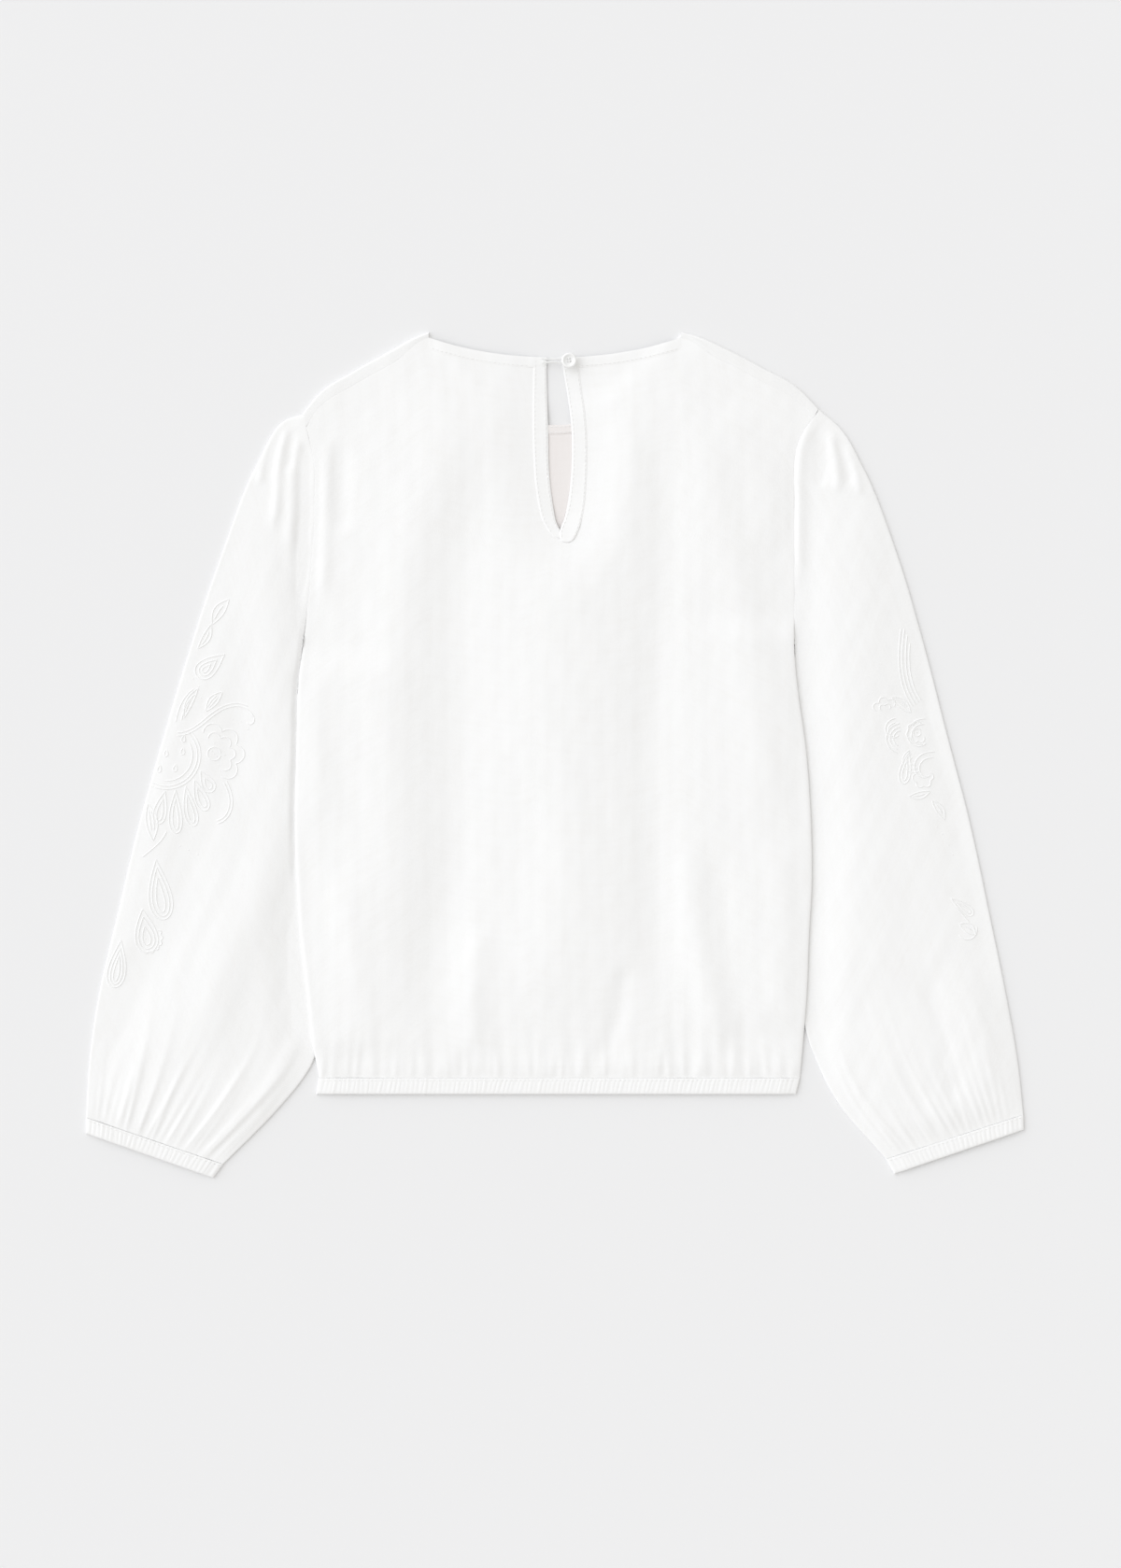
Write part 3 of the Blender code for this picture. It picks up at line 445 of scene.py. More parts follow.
# %% Sleeve and band tables
# Share of the way from armhole to cuff, outer x, outer y, inner x, inner y
SLEEVE_EDGES = {
    "left": (
        (0.00, -167.8, 226.2, -171.4, 40.0), (0.03, -180.0, 222.0, -169.5, 28.0),
        (0.10, -198.5, 192.5, -165.5, 5.0), (0.22, -220.7, 134.2, -161.5, -35.0),
        (0.35, -240.6, 74.7, -159.5, -75.0), (0.48, -258.5, 15.2, -158.5, -112.0),
        (0.60, -275.3, -44.3, -157.8, -145.0), (0.72, -289.5, -103.9, -157.8, -177.0),
        (0.84, -303.2, -163.4, -162.5, -207.5), (0.93, -308.8, -205.0, -188.0, -239.5),
        (1.00, -310.9, -240.5, -220.0, -271.5),
    ),
    "right": (
        (0.00, 175.2, 230.0, 159.8, 64.0), (0.03, 188.0, 219.0, 157.5, 50.0),
        (0.10, 205.0, 191.0, 155.5, 22.0), (0.22, 226.0, 137.0, 155.0, -22.0),
        (0.35, 244.0, 76.5, 156.5, -66.0), (0.48, 260.0, 14.5, 157.8, -105.0),
        (0.60, 275.3, -44.3, 159.8, -138.0), (0.72, 288.5, -106.0, 163.5, -166.0),
        (0.84, 300.5, -165.0, 171.5, -198.0), (0.93, 307.5, -206.0, 190.5, -234.5),
        (1.00, 310.9, -238.5, 219.5, -268.0),
    ),
}
# Share of the way down, height on the left sleeve, on the right sleeve
SLEEVE_SWELL = ((0.0, 0.8, 0.8), (0.1, 1.3, 1.9), (0.4, 1.3, 2.5), (0.75, 2.3, 3.2),
                (0.93, 2.6, 3.2), (1.0, 1.6, 1.8))
SLEEVE_EDGE_RUN = 12.0
SWELL_EDGE_RUN = 36.0
OUTER_SOFT = {"left": 0.9, "right": 0.2}
SWELL_START = -1.2
SWELL_RUN = 32.0
AT_ARMHOLE = 0.4
CUFF_END_RUN = 300.0
FOLD_RUN = 6.0
CAP_SHARE = 0.30

# Corners of the bands, x and y: seam side then free side, each from outside to inside
CUFF_CORNERS = {
    "left": ((-310.95, -240.55), (-220.05, -271.55), (-311.2, -251.0), (-226.6, -280.6)),
    "right": ((310.95, -238.55), (219.55, -268.05), (311.2, -248.6), (225.1, -278.0)),
}
HEM_CORNERS = ((-156.6, -214.24), (162.6, -214.24), (-158.4, HEM_END_Y), (160.0, HEM_END_Y))
CUFF_RIBS = 29
HEM_RIBS = 105
BAND_EDGE = 2.0
BAND_RISE = 0.7
print("sleeve stations:", len(SLEEVE_EDGES["left"]))

# %% [markdown]
# ## Helpers for soft shapes
# Three small helpers make all the cloth. One reads a smooth curve from a table, one is a
# soft step, and one adds a row of soft ridges and troughs, each fading out at both ends.

# %% Curves, steps and folds


def through(table, column, at):
    """Smooth curve through a table's rows, read in the given column."""
    rows = np.array(table, dtype=float)
    stations = rows[:, 0]
    values = rows[:, column]
    at = np.asarray(at, dtype=float)
    slopes = np.gradient(values, stations)
    low = np.clip(np.searchsorted(stations, at, side="right") - 1, 0, len(stations) - 2)
    step = stations[low + 1] - stations[low]
    part = np.clip((at - stations[low]) / step, 0.0, 1.0)
    rest = 1.0 - part
    ends = (1 + 2 * part) * rest**2 * values[low] + (1 + 2 * rest) * part**2 * values[low + 1]
    turns = part * rest**2 * slopes[low] - part**2 * rest * slopes[low + 1]
    return ends + step * turns


def ramp(value, start, end):
    """Soft step from 0 at start to 1 at end."""
    part = np.clip((value - start) / (end - start), 0.0, 1.0)
    return part * part * (3.0 - 2.0 * part)


def rounded(value, run):
    """Rise from 0 to 1 over a run, steep at first, as a soft edge swells from its fold."""
    return 1.0 - np.clip(1.0 - value / run, 0.0, 1.0) ** 2


def relief(folds, x, y):
    """Height that a table of soft ridges and troughs adds at each place."""
    height = np.zeros_like(x)
    for _name, half_width, rise, points in folds:
        path = np.array(points, dtype=float)
        table = np.column_stack((np.linspace(0.0, 1.0, len(path)), path))
        steps = np.linspace(0.0, 1.0, 4 * len(path))
        crest_x, crest_y = through(table, 1, steps), through(table, 2, steps)
        nearest, along = np.full_like(x, 1e9), np.zeros_like(x)
        for k in range(len(steps) - 1):
            run_x, run_y = crest_x[k + 1] - crest_x[k], crest_y[k + 1] - crest_y[k]
            part = (x - crest_x[k]) * run_x + (y - crest_y[k]) * run_y
            part = np.clip(part / (run_x**2 + run_y**2), 0.0, 1.0)
            away = np.hypot(x - crest_x[k] - part * run_x, y - crest_y[k] - part * run_y)
            closer = away < nearest
            nearest = np.where(closer, away, nearest)
            along = np.where(closer, (k + part) / (len(steps) - 1), along)
        fade = ramp(along, 0.0, FOLD_START) * ramp(1.0 - along, 0.0, FOLD_END)
        height += rise * fade * np.exp(-((nearest / half_width) ** 2))
    return height


def drift(x, y, length, seed):
    """Slow uneven wandering between -1 and 1, a sum of waves of about the given length."""
    draw = random.Random(seed)
    total = np.zeros_like(x)
    for _ in range(5):
        heading = draw.uniform(0.0, math.pi)
        size = length * draw.uniform(0.7, 1.6)
        phase = draw.uniform(0.0, 2.0 * math.pi)
        run = (x * math.cos(heading) + y * math.sin(heading)) / size
        total += np.sin(2.0 * math.pi * run + phase)
    return total / 3.0


print("soft step half way:", float(ramp(0.5, 0.0, 1.0)))

# %% [markdown]
# ## From a grid to a piece of cloth
# Each piece starts as a grid primitive, as flat as cut cloth. Its vertices are then moved to
# where the pattern puts them, its UV map is laid out at the cloth's real size, the parts that
# the pattern doesn't have are deleted, and Solidify gives the wall its thickness inwards.

# %% Cloth maker


def deselect_all():
    if bpy.context.mode != "OBJECT":
        bpy.ops.object.mode_set(mode="OBJECT")
    bpy.ops.object.select_all(action="DESELECT")


def select_only(piece):
    deselect_all()
    piece.select_set(True)
    bpy.context.view_layer.objects.active = piece


def dense(stations, sizes, step):
    """Fractional stations, so that no two are further apart than step; sizes are their places."""
    made = []
    for k in range(len(stations) - 1):
        parts = max(1, math.ceil(abs(sizes[k + 1] - sizes[k]) / step))
        made += list(np.linspace(stations[k], stations[k + 1], parts + 1)[:-1])
    return np.array(made + [stations[-1]])


def cut_faces(piece, lost):
    """Deletes the faces whose place in the array lost is true."""
    mesh = piece.data
    select_only(piece)
    bpy.context.tool_settings.mesh_select_mode = (False, False, True)
    mesh.vertices.foreach_set("select", np.zeros(len(mesh.vertices), bool))
    mesh.edges.foreach_set("select", np.zeros(len(mesh.edges), bool))
    mesh.polygons.foreach_set("select", lost)
    bpy.ops.object.mode_set(mode="EDIT")
    bpy.ops.mesh.delete(type="FACE")
    bpy.ops.object.mode_set(mode="OBJECT")


def lay_out_uv(mesh, grid, which):
    """UV map in metres: lengths along the grid's rows and columns, from its middle."""
    across = np.linalg.norm(np.diff(grid, axis=1), axis=2)
    down = np.linalg.norm(np.diff(grid, axis=0), axis=2)
    u = np.zeros(grid.shape[:2])
    v = np.zeros(grid.shape[:2])
    u[:, 1:] = np.cumsum(across, axis=1)
    v[1:, :] = np.cumsum(down, axis=0)
    u -= u[:, [grid.shape[1] // 2]]
    corners = np.empty(len(mesh.loops), np.int32)
    mesh.loops.foreach_get("vertex_index", corners)
    flat = np.column_stack((u.ravel(), -v.ravel()))[which[corners]]
    mesh.uv_layers[0].data.foreach_set("uv", flat.astype(np.float32).ravel())
    return corners.reshape(-1, 4)


def rest_on_floor(mesh):
    """No vertex stays below the floor, where a wall was pressed through it."""
    spots = np.empty(len(mesh.vertices) * 3)
    mesh.vertices.foreach_get("co", spots)
    spots[2::3] = np.maximum(spots[2::3], 0.0)
    mesh.vertices.foreach_set("co", spots)
    mesh.update()


def cloth_piece(name, columns, rows, place, material, keep=None, tube=False, mirrored=False,
                wall=WALL):
    """Cloth from a grid: place(column, row) gives x, y, z in mm of its outer face."""
    deselect_all()
    bpy.ops.mesh.primitive_grid_add(
        x_subdivisions=len(columns) - 1, y_subdivisions=len(rows) - 1, size=1.0
    )
    piece = bpy.context.object
    piece.name = piece.data.name = name
    mesh = piece.data
    flat = np.empty(len(mesh.vertices) * 3)
    mesh.vertices.foreach_get("co", flat)
    flat = flat.reshape(-1, 3)
    i = np.rint((flat[:, 0] + 0.5) * (len(columns) - 1)).astype(int)
    j = np.rint((0.5 - flat[:, 1]) * (len(rows) - 1)).astype(int)
    column, row = np.asarray(columns)[i], np.asarray(rows)[j]
    spots = np.column_stack(place(column, row)) * MM
    mesh.vertices.foreach_set("co", spots.ravel())
    which = j * len(columns) + i
    grid = np.empty((len(rows) * len(columns), 3))
    grid[which] = spots
    corners = lay_out_uv(mesh, grid.reshape(len(rows), len(columns), 3), which)
    if keep is not None:
        lost = ~keep(column[corners].mean(axis=1), row[corners].mean(axis=1))
        cut_faces(piece, lost)
    select_only(piece)
    bpy.ops.object.mode_set(mode="EDIT")
    bpy.ops.mesh.select_all(action="SELECT")
    if tube:
        bpy.ops.mesh.remove_doubles(threshold=0.000001)
    if mirrored:
        bpy.ops.mesh.flip_normals()
    bpy.ops.object.mode_set(mode="OBJECT")
    bpy.ops.object.shade_smooth()
    solid = piece.modifiers.new("wall", "SOLIDIFY")
    solid.thickness = wall * MM
    solid.offset = -1.0
    bpy.ops.object.modifier_apply(modifier=solid.name)
    rest_on_floor(mesh)
    mesh.materials.append(material)
    return piece


def dress(piece, slot, *nodes):
    """The piece rides on the one body and stands for its nodes, whose solids it hides; slot is not
    used.
    """
    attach(piece, "root")
    if nodes:
        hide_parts(*nodes)
    faces = sum(len(f.vertices) - 2 for f in piece.data.polygons)
    print(f"{piece.name}: {faces} triangles")
    return piece


# %% [markdown]
# ## The back panel
# The back is one cut piece, slit from the neck for the keyhole and drawn up by the hem's
# elastic. Lying flat, it holds a little air: it is puffed in the middle, has a few long soft
# folds, and a fringe of small uneven gathers runs up from the elastic. Those gathers could
# be a bump, but they cast shadows, so they are modelled, each with its own length and lean.

# %% Shape of the body
GATHER_COUNT = 54
gather_draw = random.Random(41)
HEM_GATHERS = []
for k in range(GATHER_COUNT):
    spot = (k + 0.5 + gather_draw.uniform(-0.32, 0.32)) / GATHER_COUNT
    HEM_GATHERS.append((
        -157.0 + 318.0 * spot,
        gather_draw.uniform(12.0, 40.0),
        gather_draw.uniform(1.5, 2.8),
        gather_draw.uniform(0.15, 0.65),
        gather_draw.uniform(-0.10, 0.10) + 0.08 * (0.5 - spot),
    ))


def side_x(y, right):
    """Edge of the body at a height in the view, on either side."""
    return np.where(right, through(BODY_SIDES, 2, y), through(BODY_SIDES, 1, y))


def share_out(x, y):
    """How far out a place is, from 0 on the middle line to 1 on the body's edge."""
    return np.abs(x) / np.abs(side_x(y, x > 0))


def lift(share, y, right, foot, flat):
    """Rise of the body's edges, from foot to flat, over the sleeve edges tucked under them."""
    table = np.array(LIFT_RUN)
    left_run = np.interp(y, table[:, 0], table[:, 1])
    right_run = np.interp(y, table[:, 0], table[:, 2])
    run = ramp(np.where(right, right_run, left_run), 0.0, 1.0)
    return LIFT * run * ramp(share, foot, flat)


def billow(x, y):
    """How freely the back billows: little beside the bound keyhole, fully away from it."""
    away = np.hypot(x - CALM_X, CALM_STRETCH * (y - CALM_Y))
    return CALM_SHARE + (1.0 - CALM_SHARE) * ramp(away, CALM_START, CALM_END)


def sag(x, y):
    """How far the back sinks above the front's neckline, where only the ground is under it."""
    return SAG * ramp(y - front_edge_y(x), SAG_START, SAG_END)


def hem_gathers(x, y):
    """Small uneven gathers that run up from the hem's elastic and die out."""
    height = np.zeros_like(x)
    up = y - HEM_Y
    for middle, reach, half_width, rise, lean in HEM_GATHERS:
        here = middle + lean * up
        wide = half_width * (1.0 + 0.035 * up)
        height += rise * np.exp(-((x - here) / wide) ** 2) * np.exp(-((up / reach) ** 2))
    return height * (0.35 + 0.65 * ramp(up, 0.0, 4.0))


def back_top(x, y):
    """Upper face of the back panel."""
    share = np.minimum(share_out(x, y), 1.0)
    low_ends = (0.3 + 0.7 * ramp(y - HEM_Y, 0.0, PUFF_RUN)) * (
        0.4 + 0.6 * ramp(back_edge_y(x) - y, 0.0, PUFF_RUN))
    puff = PUFF_EDGE + PUFF * (1.0 - share**2.5) * low_ends
    edge_fade = ramp(1.0 - share, 0.0, 0.04)
    free = billow(x, y)
    loose = free * (puff + edge_fade * relief(BACK_FOLDS, x, y)) + hem_gathers(x, y)
    small = 0.22 * drift(x, 0.35 * y, 34.0, 3) + 0.10 * drift(x, 0.5 * y, 13.0, 8)
    loose += free * edge_fade * small
    loose = 0.5 * (loose + np.sqrt(loose**2 + 0.25))
    rise = lift(share, y, x > 0, BACK_FOOT_SHARE, BACK_FLAT_SHARE)
    corner = np.hypot(np.abs(x) - NECK_X, y - CORNER_Y) / CORNER_RUN
    pressed = PRESS * np.exp(-(((x - CALM_X) / PRESS_RUN) ** 2)) * ramp(y, 118.0, 150.0)
    pressed += HEM_FALL * (1.0 - ramp(y - HEM_Y, 0.0, HEM_FALL_RUN))
    pressed += sag(x, y) + CORNER_DROP * np.exp(-corner**2)
    return rise + CLOTH + LAYER_GAP + WALL + loose - pressed


print("gathers above the hem:", len(HEM_GATHERS))

# %% Neckline, shoulders and the panel's grid


def ridge_y(x):
    """The shoulder ridge, where the front turns over to the back."""
    return through(RIDGE, 1, x)


def back_edge_y(x):
    """Upper edge of the back panel: neckline, then the shoulder seams below the ridge."""
    away = np.abs(x)
    neck = BACK_NECK_Y + BACK_NECK_RISE * (np.minimum(away, NECK_X) / NECK_X) ** NECK_POWER
    growth = SEAM_DROP_SHOULDER - SEAM_DROP_NECK
    drop = SEAM_DROP_NECK + growth * ramp(away, NECK_X, NECK_X + SHOULDER_RUN)
    return np.where(away > NECK_X, ridge_y(x) - drop, neck)


def front_edge_y(x):
    """Upper edge of the front panel: the deeper neckline, then the ridge."""
    away = np.abs(x)
    rise = RIDGE_Y - FRONT_NECK_Y
    neck = FRONT_NECK_Y + rise * (np.minimum(away, NECK_X) / NECK_X) ** NECK_POWER
    return np.where(away > NECK_X, ridge_y(x), neck)


SHOULDER_LEFT = (-167.2, -153.0, -137.1, -122.0, -108.0, -95.0)
SHOULDER_RIGHT = (95.0, 109.0, 125.0, 143.1, 159.7, 174.5)
BACK_COLUMNS = SHOULDER_LEFT + (-NECK_X, -70.0, -55.0, -40.0, -27.0, -14.9, -5.6, 4.3, 14.5,
                                31.0, 43.0, 56.0, 70.0, NECK_X) + SHOULDER_RIGHT
NECK_START = len(SHOULDER_LEFT)
KEYHOLE_START = BACK_COLUMNS.index(-14.9)
UPPER_Y = 96.0
BACK_UPPER = (1.0, 0.957, 0.91, 0.84, 0.74, 0.62, 0.50, 0.40, 0.3125, 0.268, 0.13, 0.0)
BACK_LEVELS = (74.0, 50.0, 22.0, -10.0, -45.0, -80.0, -113.0, -143.0, -165.0,
               -180.0, -191.0, -200.0, -207.0, HEM_Y)
NECK_ROW = 1
TIP_ROW = BACK_UPPER.index(0.3125)
BACK_ROWS = len(BACK_UPPER) + len(BACK_LEVELS)


def levels_y(row, edge, upper, levels):
    """Place of a grid row: fanned under the top edge, then level across the body."""
    count = len(upper)
    shares = np.interp(row, np.arange(count), upper)
    below = np.interp(row, np.arange(count - 1, count + len(levels)), (UPPER_Y,) + levels)
    return np.where(row <= count - 1, UPPER_Y + (edge - UPPER_Y) * shares, below)


def column_x(column, y, stations):
    """Place across of a grid column, which follows the body's edge on its side."""
    top = np.interp(column, np.arange(len(stations)), stations)
    right = top > 0
    share = np.where(right, top / stations[-1], top / -stations[0])
    return share * np.abs(side_x(y, right))


def back_place(column, row):
    """Plan position of the back panel's grid, whose middle columns follow the keyhole."""
    top = np.interp(column, np.arange(len(BACK_COLUMNS)), BACK_COLUMNS)
    y = levels_y(row, back_edge_y(top), BACK_UPPER, BACK_LEVELS)
    plain = column_x(column, y, BACK_COLUMNS)
    edges = [column_x(np.full_like(y, KEYHOLE_START - 1.0), y, BACK_COLUMNS)]
    for offset in range(4):
        edges.append(through(KEYHOLE, 1 + offset, np.maximum(y, KEYHOLE[0][0])))
    edges.append(column_x(np.full_like(y, KEYHOLE_START + 4.0), y, BACK_COLUMNS))
    where = np.clip(column - (KEYHOLE_START - 1), 0.0, len(edges) - 1.0)
    low = np.minimum(where.astype(int), len(edges) - 2)
    part = where - low
    stack = np.array(edges)
    here = np.arange(len(y))
    curved = stack[low, here] * (1.0 - part) + stack[low + 1, here] * part
    middle = (column > KEYHOLE_START - 1) & (column < KEYHOLE_START + 4)
    return np.where(middle, curved, plain), y


print("keyhole from column", KEYHOLE_START, "down to row", TIP_ROW)

# %% Make the back panel
# The last strips at the sides and the top turn down, as a seam draws its edge under.
EDGE_TURN = (0.0, 0.1, 0.3, 0.7, 1.4, 2.6)
SIDE_DROP = 0.7
SEAM_DROP = 0.08
BACK_STEP_X = 1.45
BACK_STEP_Y = 3.6
HEM_STEP_Y = 2.0


def turned_edge(distance, reach, drop):
    """How far cloth falls at a distance from its seam: a quarter round of the given reach."""
    part = np.clip(1.0 - distance / reach, 0.0, 1.0)
    return drop * (1.0 - np.sqrt(np.maximum(1.0 - part**2, 0.0)))


def near_edge(stations, start_step, sign):
    """Extra stations close to one end of a list, at the small distances of EDGE_TURN."""
    end = stations[0] if sign > 0 else stations[-1]
    extra = [end + sign * gap / start_step for gap in EDGE_TURN[1:]]
    rest = [s for s in stations if abs(s - end) > EDGE_TURN[-1] / start_step + 1e-6 or s == end]
    return np.array(sorted(rest + extra))


BACK_UPPER_HEIGHT = 168.0
back_columns = dense(np.arange(len(BACK_COLUMNS)), BACK_COLUMNS, BACK_STEP_X)
back_columns = near_edge(back_columns, abs(BACK_COLUMNS[0] - BACK_COLUMNS[1]), 1)
back_columns = near_edge(back_columns, abs(BACK_COLUMNS[-1] - BACK_COLUMNS[-2]), -1)
upper_sizes = [BACK_UPPER_HEIGHT * share for share in BACK_UPPER]
upper_rows = dense(np.arange(len(BACK_UPPER)), upper_sizes, BACK_STEP_Y)
upper_rows = near_edge(upper_rows, upper_sizes[0] - upper_sizes[1], 1)
level_sizes = (UPPER_Y,) + BACK_LEVELS
hem_start = level_sizes.index(-143.0)
mid_rows = dense(np.arange(len(BACK_UPPER) - 1, len(BACK_UPPER) + hem_start),
                 level_sizes[:hem_start + 1], BACK_STEP_Y)
hem_rows = dense(np.arange(len(BACK_UPPER) - 1 + hem_start, BACK_ROWS), level_sizes[hem_start:],
                 HEM_STEP_Y)
hem_rows = near_edge(hem_rows, level_sizes[-2] - level_sizes[-1], -1)
back_rows = np.array(sorted(set(upper_rows) | set(mid_rows) | set(hem_rows)))
slit_columns = [KEYHOLE_START + part for part in (0.96, 0.99, 2.01, 2.04)]
back_columns = np.array(sorted(set(back_columns) | set(slit_columns)))


def back_surface(column, row):
    x, y = back_place(column, row)
    z = back_top(x, y)
    side_gap = np.abs(side_x(y, x > 0)) - np.abs(x)
    below = ramp(UPPER_Y - y, 0.0, 30.0)
    top_gap = np.where(np.abs(x) > NECK_X, back_edge_y(x) - y, 99.0)
    z = z - turned_edge(side_gap, EDGE_TURN[-1], SIDE_DROP * below + SEAM_DROP)
    z = z - turned_edge(top_gap, EDGE_TURN[-1], SEAM_DROP)
    z = z - turned_edge(y - HEM_Y, EDGE_TURN[-1], SEAM_DROP)
    return x, y, z


def back_keep(column, row):
    in_keyhole = (column > KEYHOLE_START + 1) & (column < KEYHOLE_START + 2)
    return ~(in_keyhole & (row < TIP_ROW))


back = cloth_piece("back_cloth", back_columns, back_rows, back_surface, cotton, back_keep)
dress(back, "cotton", "back_panel")

# %% [markdown]
# ## The front panel
# The front lies under the back. Little of it shows: its inner face through the keyhole, and
# its shoulders, which come up over the ridge and are sewn to the back a little below it.

# %% Make the front panel
FRONT_COLUMNS = (SHOULDER_LEFT + (-NECK_X, -62.0, -40.0, -17.0, 17.0, 40.0, 62.0, NECK_X)
                 + SHOULDER_RIGHT)
FRONT_UPPER = (1.0, 0.95, 0.90, 0.82, 0.72, 0.61, 0.48, 0.33, 0.16, 0.0)
FRONT_LEVELS = (74.0, 50.0, -10.0, -80.0, -143.0, -200.0, HEM_Y)
RIDGE_TURNS = 4
AIR = 0.15
AIR_MIDDLE = (4.0, 170.0)
PAINTED_SHADE_REACH = 60.0

FRONT_STEP_X = 3.0
FRONT_STEP_Y = 6.0
FRONT_UPPER_HEIGHT = 123.0
front_columns = dense(np.arange(len(FRONT_COLUMNS)), FRONT_COLUMNS, FRONT_STEP_X)
seam_ends = (0.01, 0.04, NECK_START - 0.04, NECK_START - 0.01)
seam_ends += tuple(len(FRONT_COLUMNS) - 1 - end for end in seam_ends)
front_columns = np.array(sorted(set(front_columns) | set(seam_ends)))
turn_rows = np.concatenate(([0.0, 0.01, 0.04, 0.12], np.linspace(0.25, RIDGE_TURNS, 16)))
front_sizes = [UPPER_Y + FRONT_UPPER_HEIGHT * share for share in FRONT_UPPER]
front_sizes += list(FRONT_LEVELS)
flat_rows = dense(np.arange(len(front_sizes)), front_sizes, FRONT_STEP_Y) + RIDGE_TURNS
front_rows = np.array(sorted(set(turn_rows) | set(flat_rows)))


def front_air(x, y):
    """The little air under the front where it is seen through the keyhole."""
    away = np.hypot(x - AIR_MIDDLE[0], 0.6 * (y - AIR_MIDDLE[1]))
    return AIR * (1.0 - ramp(away, 10.0, 42.0))


def front_surface(column, row):
    top = np.interp(column, np.arange(len(FRONT_COLUMNS)), FRONT_COLUMNS)
    shoulder_x = column_x(column, ridge_y(top), FRONT_COLUMNS)
    seam_y = back_edge_y(shoulder_x)
    radius = 0.5 * back_top(shoulder_x, seam_y)
    reach = front_edge_y(top) - np.where(np.abs(top) >= NECK_X, radius, 0.0)
    y = levels_y(np.maximum(row - RIDGE_TURNS, 0.0), reach, FRONT_UPPER, FRONT_LEVELS)
    x = column_x(column, y, FRONT_COLUMNS)
    z = lift(share_out(x, y), y, x > 0, FOOT_SHARE, FLAT_SHARE) + front_air(x, y)
    round_part = np.clip((row - 0.5) / (RIDGE_TURNS - 0.5), 0.0, 1.0)
    angle = math.pi * (1.0 - round_part)
    turn_y = np.where(row < 0.5, seam_y + (reach - seam_y) * row / 0.5,
                      reach + radius * np.sin(angle))
    turn_z = radius - radius * np.cos(angle)
    turn_z = turn_z - np.where(row < 1.0, turned_edge(turn_y - seam_y, 2.0, SEAM_DROP), 0.0)
    turn_x = column_x(column, turn_y, FRONT_COLUMNS)
    turned = row < RIDGE_TURNS
    return np.where(turned, turn_x, x), np.where(turned, turn_y, y), np.where(turned, turn_z, z)


def front_keep(column, row):
    in_neck = (column > NECK_START) & (column < len(FRONT_COLUMNS) - 1 - NECK_START)
    return ~(in_neck & (row < RIDGE_TURNS))


front = cloth_piece("front_cloth", front_columns, front_rows, front_surface, cotton, front_keep,
                    mirrored=True, wall=CLOTH)
# Faces near the middle, seen through the keyhole, take the darker tones of painted shade.
front.data.materials.append(painted_shade_cotton)
for face in front.data.polygons:
    face.material_index = int(abs(face.center.x) < PAINTED_SHADE_REACH * MM)
dress(front, "cotton", "front_panel")

# %% [markdown]
# ## The sleeves
# Each bishop sleeve is one piece sewn into a tube, gathered into the armhole at the cap and
# into the elastic at the cuff. Laid flat it is a low cushion of two layers with rounded
# edges, tucked under the body below the armpit.

# %% Shape of a sleeve
FOLD_ANGLES = (68.0, 45.0, 22.0, 0.0, -25.0, -50.0)
SLEEVE_COLUMNS = 104
UNDER_COLUMNS = 14
SLEEVE_ROWS = np.concatenate((
    [0.0, 0.0004, 0.0015], np.linspace(0.0035, 0.02, 6)[:-1], np.linspace(0.02, 0.12, 22)[:-1],
    np.linspace(0.12, 0.86, 84)[:-1], np.linspace(0.86, 0.998, 30), [0.9992, 0.9997, 1.0],
))

CUFF_GATHER_COUNT = 22
CUFF_GATHERS = {}
for side, seed in (("left", 17), ("right", 29)):
    draw = random.Random(seed)
    gathers = []
    for k in range(CUFF_GATHER_COUNT):
        spot = (k + 0.5 + draw.uniform(-0.3, 0.3)) / CUFF_GATHER_COUNT
        gathers.append((spot, draw.uniform(0.04, 0.15), draw.uniform(0.011, 0.021),
                        draw.uniform(0.5, 1.25), draw.uniform(-0.35, 0.35)))
    CUFF_GATHERS[side] = gathers


def flat_ring(top_columns, under_columns):
    """Stations round a flattened tube: share across, arc offset, arc height, top or not."""
    stations = [(share, 0.0, 1.0, 1.0) for share in np.linspace(0.0, 1.0, top_columns + 1)]
    for angle in FOLD_ANGLES:
        stations.append((1.0, math.cos(math.radians(angle)), math.sin(math.radians(angle)), 0.0))
    stations += [(1.0 - k / under_columns, 0.0, -1.0, 0.0) for k in range(under_columns + 1)]
    for angle in reversed(FOLD_ANGLES):
        stations.append((0.0, -math.cos(math.radians(angle)), math.sin(math.radians(angle)), 0.0))
    return np.array(stations)


def ring_section(stations, column, width, radius):
    """Distance across and height of a flattened tube's outer face."""
    which = column.astype(int) % len(stations)
    share, arc_x, arc_z = stations[which, :3].T
    across = radius + share * (width - 2.0 * radius) + arc_x * radius
    return share, across, radius + arc_z * radius, stations[which, 3] > 0.5


def cuff_gathers(side, t, share):
    """Uneven gathers that run up the sleeve from its cuff."""
    height = np.zeros_like(t)
    up = 1.0 - t
    for middle, reach, half_width, rise, lean in CUFF_GATHERS[side]:
        here = middle + lean * up
        wide = half_width * (1.0 + 3.0 * up)
        height += rise * np.exp(-((share - here) / wide) ** 2) * np.exp(-((up / reach) ** 2))
    return height * (0.3 + 0.7 * ramp(up, 0.0, 0.018))


